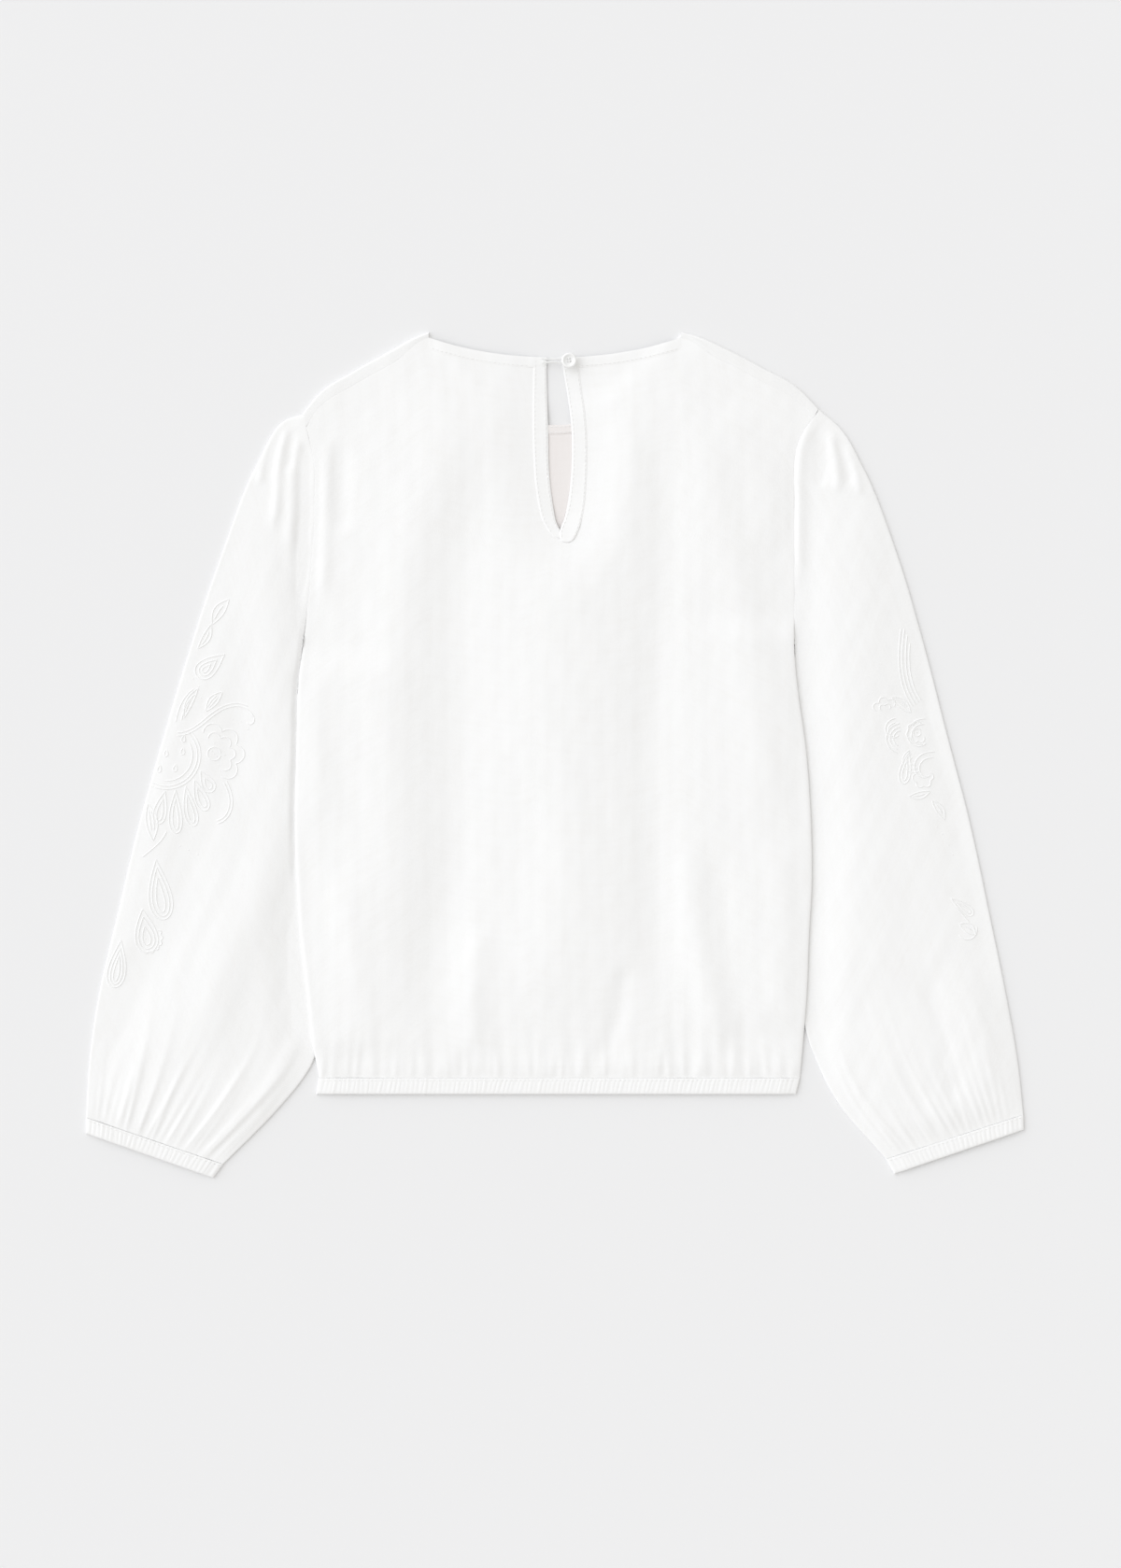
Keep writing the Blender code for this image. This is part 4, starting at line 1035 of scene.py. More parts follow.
def sleeve_surface(side):
    """The place function of one sleeve."""
    edges = SLEEVE_EDGES[side]
    radius = 0.5 * EDGE_HEIGHT
    stations = flat_ring(SLEEVE_COLUMNS, UNDER_COLUMNS)
    top_y, low_y = edges[0][2], edges[0][4]
    on_right = side == "right"
    edge_sign = 1.0 if on_right else -1.0

    def armhole(share):
        y = top_y + (low_y - top_y) * share
        return edge_sign * np.abs(side_x(y, on_right))

    def place(column, t):
        outer_x, outer_y = through(edges, 1, t), through(edges, 2, t)
        inner_x, inner_y = through(edges, 3, t), through(edges, 4, t)
        width = np.hypot(inner_x - outer_x, inner_y - outer_y)
        share, across, height, on_top = ring_section(stations, column, width, radius)
        part = across / width
        bow = armhole(part) - (edges[0][1] + (edges[0][3] - edges[0][1]) * part)
        x = outer_x + (inner_x - outer_x) * part + bow * (1.0 - ramp(t, 0.0, CAP_SHARE))
        y = outer_y + (inner_y - outer_y) * part
        outside = np.abs(x) - np.abs(side_x(y, on_right))
        clear = np.where(y > low_y, np.maximum(outside, 0.0), outside)
        x = x + edge_sign * (clear - outside)
        above = ramp(y - low_y, 5.0, 25.0)
        start = SWELL_START - above
        low_edges = rounded(across, SLEEVE_EDGE_RUN) * rounded(width - across, SLEEVE_EDGE_RUN)
        swell = through(SLEEVE_SWELL, 2 if on_right else 1, t)
        swell = swell * ramp(clear, start, start + SWELL_RUN)
        swell *= 1.0 - 0.6 * ramp(t, 0.965, 1.0)
        soft = OUTER_SOFT[side] * ramp(across, 0.0, 1.5 * SWELL_EDGE_RUN)
        swell *= soft + (1.0 - OUTER_SOFT[side]) * rounded(across, SWELL_EDGE_RUN)
        swell *= rounded(width - across, SWELL_EDGE_RUN)
        swell += AT_ARMHOLE * above * (1.0 - ramp(clear, 0.0, 14.0)) * rounded(across, 4.0)
        folds = relief(SLEEVE_FOLDS[side], x, y) * ramp(clear, start, start + FOLD_RUN)
        small = 0.20 * drift(x, 0.4 * y, 30.0, 5) + 0.09 * drift(x, 0.5 * y, 11.0, 6)
        loose = swell + low_edges * (folds + 0.7 * cuff_gathers(side, t, share) + small)
        loose = 0.5 * (loose + np.sqrt(loose**2 + 0.04)) - 0.1
        sewn = turned_edge(clear, 1.6, SEAM_DROP) * (y > low_y)
        sewn = sewn + turned_edge((1.0 - t) * CUFF_END_RUN, 2.0, SEAM_DROP)
        return x, y, height + np.where(on_top, np.maximum(loose, 0.0) - sewn, 0.0)

    return place, len(stations)


# %% Make the sleeves
sleeves = {}
for side in SLEEVE_EDGES:
    place, around = sleeve_surface(side)
    piece = cloth_piece(f"sleeve_{side}_cloth", np.arange(around + 1), SLEEVE_ROWS, place, cotton,
                        tube=True, mirrored=side == "right", wall=TUBE_WALL)
    dress(piece, "cotton", f"sleeve_{side}")
    sleeves[side] = piece

# %% [markdown]
# ## The elastic bands
# The hem and both cuffs are narrow casings over elastic. Stretched flat and let go, they draw
# up into small upright ribs, none quite like the next. A wave would be too regular, so every
# rib has its own height, width and lean.

# %% Shape and making of the bands
RIB_COLUMNS = 8
CUFF_RIB_HEIGHT = 0.24
HEM_RIB_HEIGHT = 0.19
BAND_WIDTH = 10.5
BAND_SEAM_SHARE = 0.14
BAND_ROWS = np.concatenate(([0.0, 0.02, 0.06], np.linspace(0.12, 0.88, 9), [0.94, 0.98, 1.0]))


def band_surface(corners, ribs, under_columns, seed, rib_height):
    """The place function of a gathered casing, a flattened ring ribbed on its upper face."""
    seam_out, seam_in, free_out, free_in = (np.array(corner) for corner in corners)
    radius = 0.5 * BAND_EDGE
    stations = flat_ring(RIB_COLUMNS * ribs, under_columns)
    draw = random.Random(seed)
    jitter = np.array([draw.uniform(-0.22, 0.22) for _ in range(ribs + 1)])
    heights = np.array([draw.uniform(0.55, 1.15) for _ in range(ribs + 1)])
    leans = np.array([draw.uniform(-0.35, 0.35) for _ in range(ribs + 1)])

    def place(column, row):
        start = seam_out + np.outer(row, free_out - seam_out)
        end = seam_in + np.outer(row, free_in - seam_in)
        width = np.hypot(*(end - start).T)
        share, across, height, on_top = ring_section(stations, column, width, radius)
        spot = start + (end - start) * (across / width)[:, None]
        rise = BAND_RISE * ramp(across, 0.0, 12.0) * ramp(width - across, 0.0, 12.0)
        count = share * ribs
        near = np.clip(count.astype(int), 0, ribs - 1)
        turn = count + jitter[near] * np.sin(math.pi * (count - near)) + leans[near] * (row - 0.5)
        wave = np.abs(np.sin(math.pi * turn)) ** 0.8
        mellow = ramp(row, 0.0, 0.16) * ramp(1.0 - row, 0.0, 0.2)
        rib = rib_height * heights[near] * wave * (0.35 + 0.65 * mellow)
        edges = turned_edge(row * BAND_WIDTH, 1.3, SEAM_DROP)
        edges = edges + turned_edge((1.0 - row) * BAND_WIDTH, 1.6, 0.6)
        channel = 0.05 * np.exp(-((row - BAND_SEAM_SHARE) / 0.05) ** 2)
        top = rise + rib - edges - channel
        return spot[:, 0], spot[:, 1], height + np.where(on_top, top, 0.0)

    return place, len(stations)


bands = {}
for side, corners in CUFF_CORNERS.items():
    seed = {"left": 5, "right": 6}[side]
    place, around = band_surface(corners, CUFF_RIBS, 12, seed, CUFF_RIB_HEIGHT)
    piece = cloth_piece(f"cuff_{side}_cloth", np.arange(around + 1), BAND_ROWS, place,
                        elastic_cotton, tube=True, mirrored=side == "right", wall=TUBE_WALL)
    dress(piece, "cotton", f"cuff_{side}")
    bands[f"cuff_{side}"] = piece

place, around = band_surface(HEM_CORNERS, HEM_RIBS, 40, 9, HEM_RIB_HEIGHT)
hem = cloth_piece("hem_cloth", np.arange(around + 1), BAND_ROWS, place, elastic_cotton,
                  tube=True, wall=TUBE_WALL)
dress(hem, "cotton", "hem_band")
bands["hem"] = hem

# %% [markdown]
# ## The bindings
# Narrow strips finish the neck and the keyhole. They are doubled cloth, so their edges are
# round folds. Each is made from the back panel's own points, moved up, so it follows it.

# %% Make the neck bindings and the keyhole binding
STRIP_RISE = 0.3
NECK_OVER = 0.3
STRIP_SINK = 0.32
NECK_SINK = 0.1


def strip_columns(low, high):
    sizes = [BACK_COLUMNS[k] for k in range(low, high + 1)]
    inner = dense(np.arange(low, high + 1), sizes, 1.5)
    return np.array(sorted(set(inner) | {low + 0.01, low + 0.04, high - 0.04, high - 0.01}))


def neck_surface(column, row):
    x, y = back_place(column, row)
    over = NECK_OVER * ramp(x, -19.0, -14.5) * ramp(-x, -19.0, -14.5)
    wide = (back_edge_y(x) - UPPER_Y) * (1.0 - BACK_UPPER[NECK_ROW])
    ends = turned_edge(NECK_X - np.abs(x), 5.0, NECK_SINK)
    drop = turned_edge(row * wide, 1.2, 0.4)
    drop = drop + turned_edge((NECK_ROW - row) * wide, 2.4, NECK_SINK + over)
    return x, y, back_top(x, y) + NECK_SINK + over - drop - ends


neck_rows = np.array([0.0, 0.01, 0.04, 0.09, 0.16, 0.3, 0.5, 0.65, 0.78, 0.88, 0.95, 0.99, 1.0])
neck_rows = neck_rows * NECK_ROW
last_neck = len(BACK_COLUMNS) - 1 - NECK_START
for side, low, high in (("left", NECK_START, KEYHOLE_START + 1),
                        ("right", KEYHOLE_START + 2, last_neck)):
    piece = cloth_piece(f"neck_facing_{side}", strip_columns(low, high), neck_rows, neck_surface,
                        binding_cotton, wall=NECK_FACING_WALL)
    dress(piece, "trim", f"neck_binding_{side}")


# %% [markdown]
# The keyhole is bound by two strips of doubled cloth. The right one laps over the left one
# below the slit, where it ends in a rounded tab that is sewn down. Each strip is a table of
# its two edges, so the tab is only a few rows that close in on each other.

# %% Make the keyhole binding
# y, left edge, right edge
LEFT_STRIP = (
    (143.6, 2.2, 5.4), (144.4, 0.2, 5.8), (146.4, -2.6, 5.2), (150.0, -5.2, 3.0),
    (156.0, -8.4, 0.4), (165.0, -10.8, -1.3), (180.0, -13.0, -3.4), (197.0, -14.2, -4.4),
    (215.0, -14.7, -4.7), (233.0, -14.7, -5.2), (250.0, -14.5, -5.5), (264.0, -14.3, -5.7),
)
RIGHT_STRIP = (
    (140.9, 7.0, 8.8), (141.4, 5.4, 10.4), (142.8, 4.0, 12.2), (145.5, 3.0, 14.0),
    (150.0, 3.6, 16.0), (156.0, 6.0, 17.8), (165.0, 8.4, 19.6), (180.0, 10.4, 20.9),
    (197.0, 11.3, 21.5), (213.0, 11.2, 21.2), (228.0, 9.8, 20.0), (240.0, 8.0, 18.2),
    (252.0, 6.0, 16.6), (264.0, 4.3, 14.7),
)
STRIP_COLUMNS = np.array([
    0.0, 0.01, 0.04, 0.09, 0.16, 0.25, 0.36, 0.5, 0.64, 0.75, 0.84, 0.91, 0.96, 0.99, 1.0,
])
LAP = 0.4


def strip_edges(table, y):
    return through(table, 1, y), through(table, 2, y)


def strip_surface(table, lap):
    """The place function of one strip; lap is how far it rises over the other at its end."""

    def place(column, row):
        y = table[0][0] + (table[-1][0] - table[0][0]) * (1.0 - row)
        low, high = strip_edges(table, y)
        x = low + (high - low) * column
        y = y + (back_edge_y(x) - back_edge_y(np.full_like(x, table[-1][1]))) * (1.0 - row)
        edge = np.minimum(np.minimum(column, 1.0 - column) * (high - low), 1.2 * (y - table[0][0]))
        over = lap * (1.0 - ramp(y, 150.0, 160.0))
        return x, y, back_top(x, y) + STRIP_RISE + over - turned_edge(edge, 2.0, STRIP_SINK)

    return place


strips = []
for name, table, lap in (("left_strip", LEFT_STRIP, 0.0), ("keyhole_facing", RIGHT_STRIP, LAP)):
    length = table[-1][0] - table[0][0]
    down = np.concatenate((np.linspace(0.0, 6.0, 13)[:-1], np.linspace(6.0, length, 60)))
    rows = 1.0 - down / length
    strips.append(cloth_piece(name, STRIP_COLUMNS, rows[::-1], strip_surface(table, lap),
                              binding_cotton))
left_strip, keyhole = strips
select_only(keyhole)
left_strip.select_set(True)
bpy.ops.object.join()
dress(keyhole, "trim", "keyhole_binding")

# %% Make the front neck binding
FRONT_TRIM = 0.45


def front_neck_surface(column, row):
    top = np.interp(column, np.arange(len(FRONT_COLUMNS)), FRONT_COLUMNS)
    y = levels_y(row, front_edge_y(top), FRONT_UPPER, FRONT_LEVELS)
    x = column_x(column, y, FRONT_COLUMNS)
    drop = turned_edge(np.minimum(row, NECK_ROW - row) * 6.0, 0.9, 0.35)
    return x, y, front_air(x, y) + CLOTH + FRONT_TRIM - drop


low, high = NECK_START + 1, len(FRONT_COLUMNS) - 2 - NECK_START
sizes = [FRONT_COLUMNS[k] for k in range(low, high + 1)]
# The front neck binding also takes the darker tones of painted shade.
front_neck = cloth_piece("neck_facing_front", dense(np.arange(low, high + 1), sizes, 1.5),
                         neck_rows, front_neck_surface, painted_shade_cotton, wall=FRONT_FACING_WALL)
dress(front_neck, "trim", "neck_binding_front")

# %% [markdown]
# ## Thread
# The embroidery, the stitches and the button's loop are all thread. A thread is a round bevel
# along its own route, and many of them make one mesh. Its twist is finer than a pixel, so it is
# a bump of slanted bands, in a group that both kinds of thread use.

# %% Thread materials and maker
TWISTS_PER_METRE = 1100.0

twist, twist_in, twist_out = new_group(
    "thread_twist", (("Twists", TWISTS_PER_METRE),), (("Height", "NodeSocketFloat"),)
)
split = twist.nodes.new("ShaderNodeSeparateXYZ")
twist.links.new(object_places(twist), split.inputs["Vector"])
slant = math_node(twist, "ADD", split.outputs["X"], split.outputs["Y"])
slant = math_node(twist, "ADD", slant, math_node(twist, "MULTIPLY", split.outputs["Z"], 1.7))
turns = math_node(twist, "MULTIPLY", slant, twist_in.outputs["Twists"])
turns = math_node(twist, "MULTIPLY", turns, 2.0 * math.pi)
twist.links.new(math_node(twist, "SINE", turns, 0.0), twist_out.inputs["Height"])


def thread_material(name, colour, roughness, sheen):
    """White thread with a twist and a slightly uneven tone."""
    material, tree, shader = new_material(name, colour, roughness)
    group = tree.nodes.new("ShaderNodeGroup")
    group.node_tree = twist
    bump = tree.nodes.new("ShaderNodeBump")
    bump.inputs["Strength"].default_value = 0.3
    bump.inputs["Distance"].default_value = 0.0001
    tree.links.new(group.outputs["Height"], bump.inputs["Height"])
    tree.links.new(bump.outputs["Normal"], shader.inputs["Normal"])
    tone = tree.nodes.new("ShaderNodeMapRange")
    tone.inputs["From Min"].default_value = -1.0
    tone.inputs["To Min"].default_value = roughness - 0.08
    tone.inputs["To Max"].default_value = roughness + 0.06
    tree.links.new(group.outputs["Height"], tone.inputs["Value"])
    tree.links.new(tone.outputs["Result"], shader.inputs["Roughness"])
    shader.inputs["Sheen Weight"].default_value = sheen
    shader.inputs["Specular IOR Level"].default_value = 0.3
    return material


embroidery_thread = thread_material("white_embroidery_thread", (0.955, 0.955, 0.95), 0.62, 0.15)
sewing_thread = thread_material("white_sewing_thread", (0.93, 0.93, 0.92), 0.7, 0.1)


def thread_piece(name, routes, radius, material):
    """One mesh of threads, round bevels along routes in millimetres, thinner at their ends."""
    deselect_all()
    bpy.ops.curve.primitive_bezier_curve_add()
    piece = bpy.context.object
    piece.name = piece.data.name = name
    curve = piece.data
    curve.splines.clear()
    curve.dimensions = "3D"
    curve.bevel_depth = radius * MM
    curve.bevel_resolution = 1
    curve.use_fill_caps = True
    for route in routes:
        spline = curve.splines.new("POLY")
        spline.points.add(len(route) - 1)
        spline.points.foreach_set("co", np.column_stack((route * MM, np.ones(len(route)))).ravel())
        for end in (spline.points[0], spline.points[-1]):
            end.radius = 0.55
    bpy.ops.object.convert(target="MESH")
    bpy.ops.object.shade_smooth()
    piece.data.materials.clear()
    piece.data.materials.append(material)
    return piece


def cloth_tree(piece):
    return BVHTree.FromObject(piece, bpy.context.evaluated_depsgraph_get())


def heights_on(tree, line):
    """Height in mm of the cloth below each point of a line, or -1 beside the cloth."""
    down = Vector((0.0, 0.0, -1.0))
    heights = []
    for x, y in line:
        spot = tree.ray_cast(Vector((x * MM, y * MM, 0.05)), down)[0]
        heights.append(-1.0 if spot is None else spot.z / MM)
    return np.array(heights)


print("thread materials:", embroidery_thread.name, sewing_thread.name)

# %% [markdown]
# ## The embroidery
# Raised white cord runs down both sleeves: leaves, paisley drops, a ringed medallion, a
# scalloped flower and a fan of petals. These are ordinary motifs, so they are charted here by
# formulas, each from a few sizes, and not copied line for line. Every line is then laid on the
# sleeve by looking straight down at the cloth. The sleeves are turned a little, so the design
# goes over their outer folds and stops there.

# %% Lines that motifs are made of
LINE_STEP = 0.9


def arc(middle, radius, start, end):
    """Part of a ring, from one angle to another in degrees."""
    count = max(6, int(abs(math.radians(end - start)) * radius / LINE_STEP))
    turn = np.radians(np.linspace(start, end, count))
    return np.column_stack((middle[0] + radius * np.cos(turn), middle[1] + radius * np.sin(turn)))


def across_axis(start, end, down, out):
    """Points at shares down an axis and distances out to its left."""
    start, end = np.array(start, float), np.array(end, float)
    axis = end - start
    side = np.array((-axis[1], axis[0])) / np.hypot(*axis)
    return start + np.outer(down, axis) + np.outer(out, side)


def drop(tip, base, width, bend=0.0, insets=(0.0,)):
    """Paisley drops, one in the other: pointed at the tip, round at the base."""
    lines = []
    length = math.dist(tip, base)
    for inset in insets:
        turn = np.linspace(0.0, 2.0 * math.pi, max(12, int(2.3 * length / LINE_STEP)))
        shape = np.sin(turn) * np.sin(0.5 * turn) ** 1.2
        out = (0.5 * width - inset) * shape / shape.max()
        first, last = 2.4 * inset / length, 1.0 - inset / length
        down = first + (last - first) * 0.5 * (1.0 - np.cos(turn))
        lines.append(across_axis(tip, base, down, out + bend * (1.0 - down) ** 2))
    return lines


def leaf(start, end, width, bend=0.0, veins=1):
    """A leaf pointed at both ends, with its veins."""
    count = max(8, int(math.dist(start, end) / LINE_STEP))
    down = np.linspace(0.0, 1.0, count)
    arch = np.sin(math.pi * down)
    lines = [across_axis(start, end, down, (bend + side * 0.5 * width) * arch) for side in (-1, 1)]
    for k in range(veins):
        part = np.linspace(0.18, 0.72, count // 2)
        lean = (k - 0.5 * (veins - 1)) * 0.3 * width
        lines.append(across_axis(start, end, part, (bend + lean) * np.sin(math.pi * part)))
    return lines


def scroll(start, heading, length, first_curl, last_curl):
    """A curl: its heading turns by first_curl to last_curl degrees a millimetre."""
    count = max(8, int(length / LINE_STEP))
    run = np.linspace(0.0, length, count)
    bend = 0.5 * (last_curl - first_curl) * run**2 / length
    angle = np.radians(heading + first_curl * run + bend)
    step = length / (count - 1)
    x = start[0] + np.concatenate(([0.0], np.cumsum(np.cos(angle[:-1])))) * step
    y = start[1] + np.concatenate(([0.0], np.cumsum(np.sin(angle[:-1])))) * step
    return np.column_stack((x, y))


def scallops(middle, radius, start, end, count, bulge):
    """A ring of petals' edges: an arc that swells out count times."""
    points = max(20, int(abs(math.radians(end - start)) * radius * 1.5 / LINE_STEP))
    share = np.linspace(0.0, 1.0, points)
    turn = np.radians(start + (end - start) * share)
    reach = radius + bulge * np.abs(np.sin(math.pi * count * share)) ** 0.8
    return np.column_stack((middle[0] + reach * np.cos(turn), middle[1] + reach * np.sin(turn)))


def beside(line, gap):
    """The line that runs at a gap to the left of another."""
    run = np.gradient(line, axis=0)
    run /= np.hypot(run[:, 0], run[:, 1])[:, None]
    return line + gap * np.column_stack((-run[:, 1], run[:, 0]))


def knots(*places):
    """Small raised dots."""
    return [np.array(((x - 0.45, y), (x, y + 0.1), (x + 0.45, y))) for x, y in places]


print("a scroll of", len(scroll((0, 0), 0, 20, 0, 9)), "points")

# %% The design of each sleeve
RING_MIDDLE = (-257.6, 0.0)
RING_RADIUS = 22.6
FLOWER_MIDDLE = (-226.0, 0.8)


def left_design():
    """Left sleeve, from the top down."""
    lines = leaf((-227.5, 86.5), (-216.0, 103.5), 7.0, 1.2)
    lines += leaf((-237.0, 70.5), (-228.0, 87.0), 5.0, -1.6)
    lines += drop((-222.5, 69.5), (-236.5, 51.5), 12.5, 4.5, (0.0, 2.5, 4.6))
    lines += [scroll((-251.5, 22.0), 78.0, 26.0, -0.4, -3.4)]
    lines += [scroll((-247.6, 23.0), 80.0, 20.0, -0.6, -4.4)]
    lines += leaf((-246.0, 24.5), (-236.5, 44.5), 4.6, 1.4)
    lines += knots((-236.0, 45.5), (-234.6, 38.0), (-240.0, 50.5))
    stem = scroll((-251.0, 13.0), -2.0, 60.0, 3.7, -6.1)
    lines += [stem, beside(stem, 2.0)[:-8], scroll(tuple(stem[-1]), -74.0, 9.0, -14.0, -30.0)]
    lines += leaf((-231.5, 29.0), (-220.5, 42.0), 6.0, 0.8, veins=2)
    lines += knots((-208.5, 22.2), (-214.0, 23.4), (-203.5, 17.0))
    lines += [arc(RING_MIDDLE, RING_RADIUS, -118.0, 42.0)]
    lines += [arc(RING_MIDDLE, RING_RADIUS - 2.1, -118.0, 48.0)]
    lines += [arc(RING_MIDDLE, RING_RADIUS - 5.4, -95.0, 30.0)]
    for x, y in ((-246.5, 2.6), (-251.5, -8.5), (-257.5, 1.5), (-246.0, 11.0), (-262.0, -9.0)):
        lines += drop((x, y + 2.2), (x - 0.6, y - 2.4), 2.6)
    lines += [scallops(FLOWER_MIDDLE, 15.5, 118.0, -72.0, 4, 4.6)]
    lines += [scallops(FLOWER_MIDDLE, 10.8, 112.0, -66.0, 4, 3.4)]
    lines += [arc(FLOWER_MIDDLE, 4.4, 0.0, 350.0)]
    lines += knots((-226.0, 0.8), (-224.4, -0.8), (-227.6, 2.4), (-219.0, 0.0), (-226.0, 8.0),
                   (-223.0, -6.8))
    for turn, length in ((-30.0, 17.0), (-47.0, 22.0), (-64.0, 26.0), (-81.0, 27.0), (-98.0, 21.0)):
        way = np.array((math.cos(math.radians(turn)), math.sin(math.radians(turn))))
        root = np.array(RING_MIDDLE) + way * (RING_RADIUS + 1.4)
        tip = root + length * (0.7 * way + np.array((0.0, -0.35)))
        lines += drop(root, tip, 8.6, 2.4, (0.0, 2.3))
    tail = scroll((-218.0, -17.0), -62.0, 34.0, -1.0, -5.4)
    lines += [tail, beside(tail, -2.0)]
    lines += leaf((-270.0, -32.0), (-266.5, -57.0), 7.5, 1.0, veins=2)
    lines += [scroll((-257.5, -50.5), -112.0, 24.0, -3.2, 1.0)]
    lines += drop((-267.5, -70.0), (-259.0, -109.0), 15.5, 3.0, (0.0, 2.2, 5.0))
    lines += drop((-276.5, -103.0), (-268.6, -130.5), 15.0, 3.0, (0.0, 2.2, 4.8))
    lines += [scallops((-270.2, -121.5), 8.6, 40.0, -110.0, 6, 1.5)]
    lines += drop((-285.5, -123.5), (-293.0, -154.0), 12.0, -2.4, (0.0, 2.1, 4.2))
    lines += knots((-262.0, -100.5), (-263.6, -92.0), (-271.6, -122.0), (-290.6, -146.0),
                   (-243.0, -63.0), (-248.5, -60.5), (-237.0, -66.0))
    return lines


def right_design():
    """Right sleeve, whose design is turned further over its outer fold."""
    stem = scroll((229.5, 84.0), -98.0, 54.0, 0.2, 1.5)
    lines = [stem, beside(stem, 2.3), beside(stem, 4.7)[4:], beside(stem, 7.0)[10:]]
    lines += [scallops((219.0, 30.0), 6.0, 190.0, 20.0, 3, 2.6)]
    lines += [scallops((219.0, 30.0), 2.6, 190.0, 10.0, 2, 1.8)]
    lines += leaf((223.0, 38.5), (236.0, 28.0), 6.0, 1.0, veins=2)
    lines += [scroll((226.0, 24.5), 190.0, 24.0, 6.0, 13.0)]
    lines += [scroll((225.5, 21.5), 195.0, 14.0, 8.0, 18.0)]
    lines += [scroll((246.0, 24.0), 178.0, 36.0, 4.0, 9.0)]
    lines += [scroll((245.0, 20.5), 180.0, 24.0, 6.0, 11.0)]
    lines += [scallops((240.0, 15.0), 5.4, 60.0, 330.0, 5, 1.9)]
    lines += [arc((240.0, 15.0), 2.6, 0.0, 350.0)]
    lines += [scroll((252.0, 2.0), 176.0, 34.0, 3.0, 10.5)]
    lines += [scroll((251.0, -1.8), 176.0, 22.0, 5.0, 13.0)]
    lines += [arc((229.5, 11.0), reach, 95.0, 255.0) for reach in (10.0, 7.6, 5.2)]
    lines += [arc((238.0, -4.0), reach, 110.0, 300.0) for reach in (7.6, 5.2, 2.8)]
    lines += drop((233.0, 2.0), (231.0, -19.0), 7.5, 1.6, (0.0, 2.1))
    lines += [scallops((244.0, -15.0), 5.0, 150.0, 400.0, 4, 2.0)]
    lines += leaf((234.5, -27.5), (249.0, -24.0), 4.6, -1.0)
    lines += leaf((250.0, -30.0), (258.5, -43.0), 5.0, 1.0)
    lines += knots((253.0, -48.0), (256.5, -52.5), (261.0, -60.0), (264.0, -66.0), (240.0, 15.0),
                   (244.0, -15.0))
    lines += drop((263.5, -94.0), (277.0, -106.0), 6.5, -1.4, (0.0, 1.9))
    lines += leaf((268.0, -112.0), (279.0, -119.5), 6.0, 1.2)
    lines += [scroll((266.0, -101.5), -40.0, 13.0, -3.0, 3.0)]
    lines += [arc((273.5, -116.0), 6.4, -150.0, 20.0)]
    return lines


print("lines on the left:", len(left_design()), "and on the right:", len(right_design()))

# %% Lay the embroidery on the sleeves
CORD_RADIUS = 0.46
CORD_RISE = -0.1
FOLD_STOP = 0.95


def laid_routes(lines, tree):
    """The stretches of the lines that lie on the cloth above its fold."""
    routes = []
    for line in lines:
        heights = heights_on(tree, line)
        route = np.column_stack((line, heights + CORD_RISE))
        stretch = []
        for point, height in zip(route, heights):
            if height > FOLD_STOP:
                stretch.append(point)
                continue
            if len(stretch) > 2:
                routes.append(np.array(stretch))
            stretch = []
        if len(stretch) > 2:
            routes.append(np.array(stretch))
    return routes


for side, design in (("left", left_design()), ("right", right_design())):
    routes = laid_routes(design, cloth_tree(sleeves[side]))
    piece = thread_piece(f"embroidery_{side}", routes, CORD_RADIUS, embroidery_thread)
    dress(piece, "thread")

# %% [markdown]
# ## The stitches
# A row of small stitches holds down each binding and each elastic casing. A stitch is a short
# thread that dips into the cloth at both ends. They are the same length, as a machine sews them.

# %% Sew the rows of stitches
STITCH_PITCH = 3.0
STITCH_LENGTH = 2.3
STITCH_RADIUS = 0.2
STITCH_PARTS = np.array([0.0, 0.25, 0.5, 0.75, 1.0])
STITCH_RISES = np.array([-0.14, 0.08, 0.13, 0.08, -0.14])


def run_along(line):
    """Distance from the start of a line to each of its points."""
    return np.concatenate(([0.0], np.cumsum(np.hypot(*np.diff(line, axis=0).T))))


def spots_along(line, run, at):
    """Points of a line at given distances from its start."""
    return np.column_stack((np.interp(at, run, line[:, 0]), np.interp(at, run, line[:, 1])))


def stitches(line, piece):
    """Stitches along a line on a piece, as routes of thread."""
    run = run_along(line)
    tree = cloth_tree(piece)
    routes = []
    for start in np.arange(0.6, run[-1] - STITCH_LENGTH, STITCH_PITCH):
        spots = spots_along(line, run, start + STITCH_PARTS * STITCH_LENGTH)
        heights = heights_on(tree, spots)
        if heights.min() > 0.0:
            routes.append(np.column_stack((spots, heights + STITCH_RISES)))
    return routes


def strip_line(table, gap, on_left):
    """A line down a strip, at a gap inside its left or right edge."""
    y = np.linspace(table[2][0] + 1.0, table[-1][0] - 1.0, 80)
    low, high = strip_edges(table, y)
    return np.column_stack((low + gap if on_left else high - gap, y))


def neck_line(low, high):
    x = np.linspace(low, high, 60)
    wide = (back_edge_y(x) - UPPER_Y) * (1.0 - BACK_UPPER[NECK_ROW])
    return np.column_stack((x, back_edge_y(x) - wide + 1.2))


def band_line(corners, share):
    seam_out, seam_in, free_out, free_in = (np.array(corner) for corner in corners)
    start, end = seam_out + share * (free_out - seam_out), seam_in + share * (free_in - seam_in)
    return start + np.outer(np.linspace(0.01, 0.99, 120), end - start)


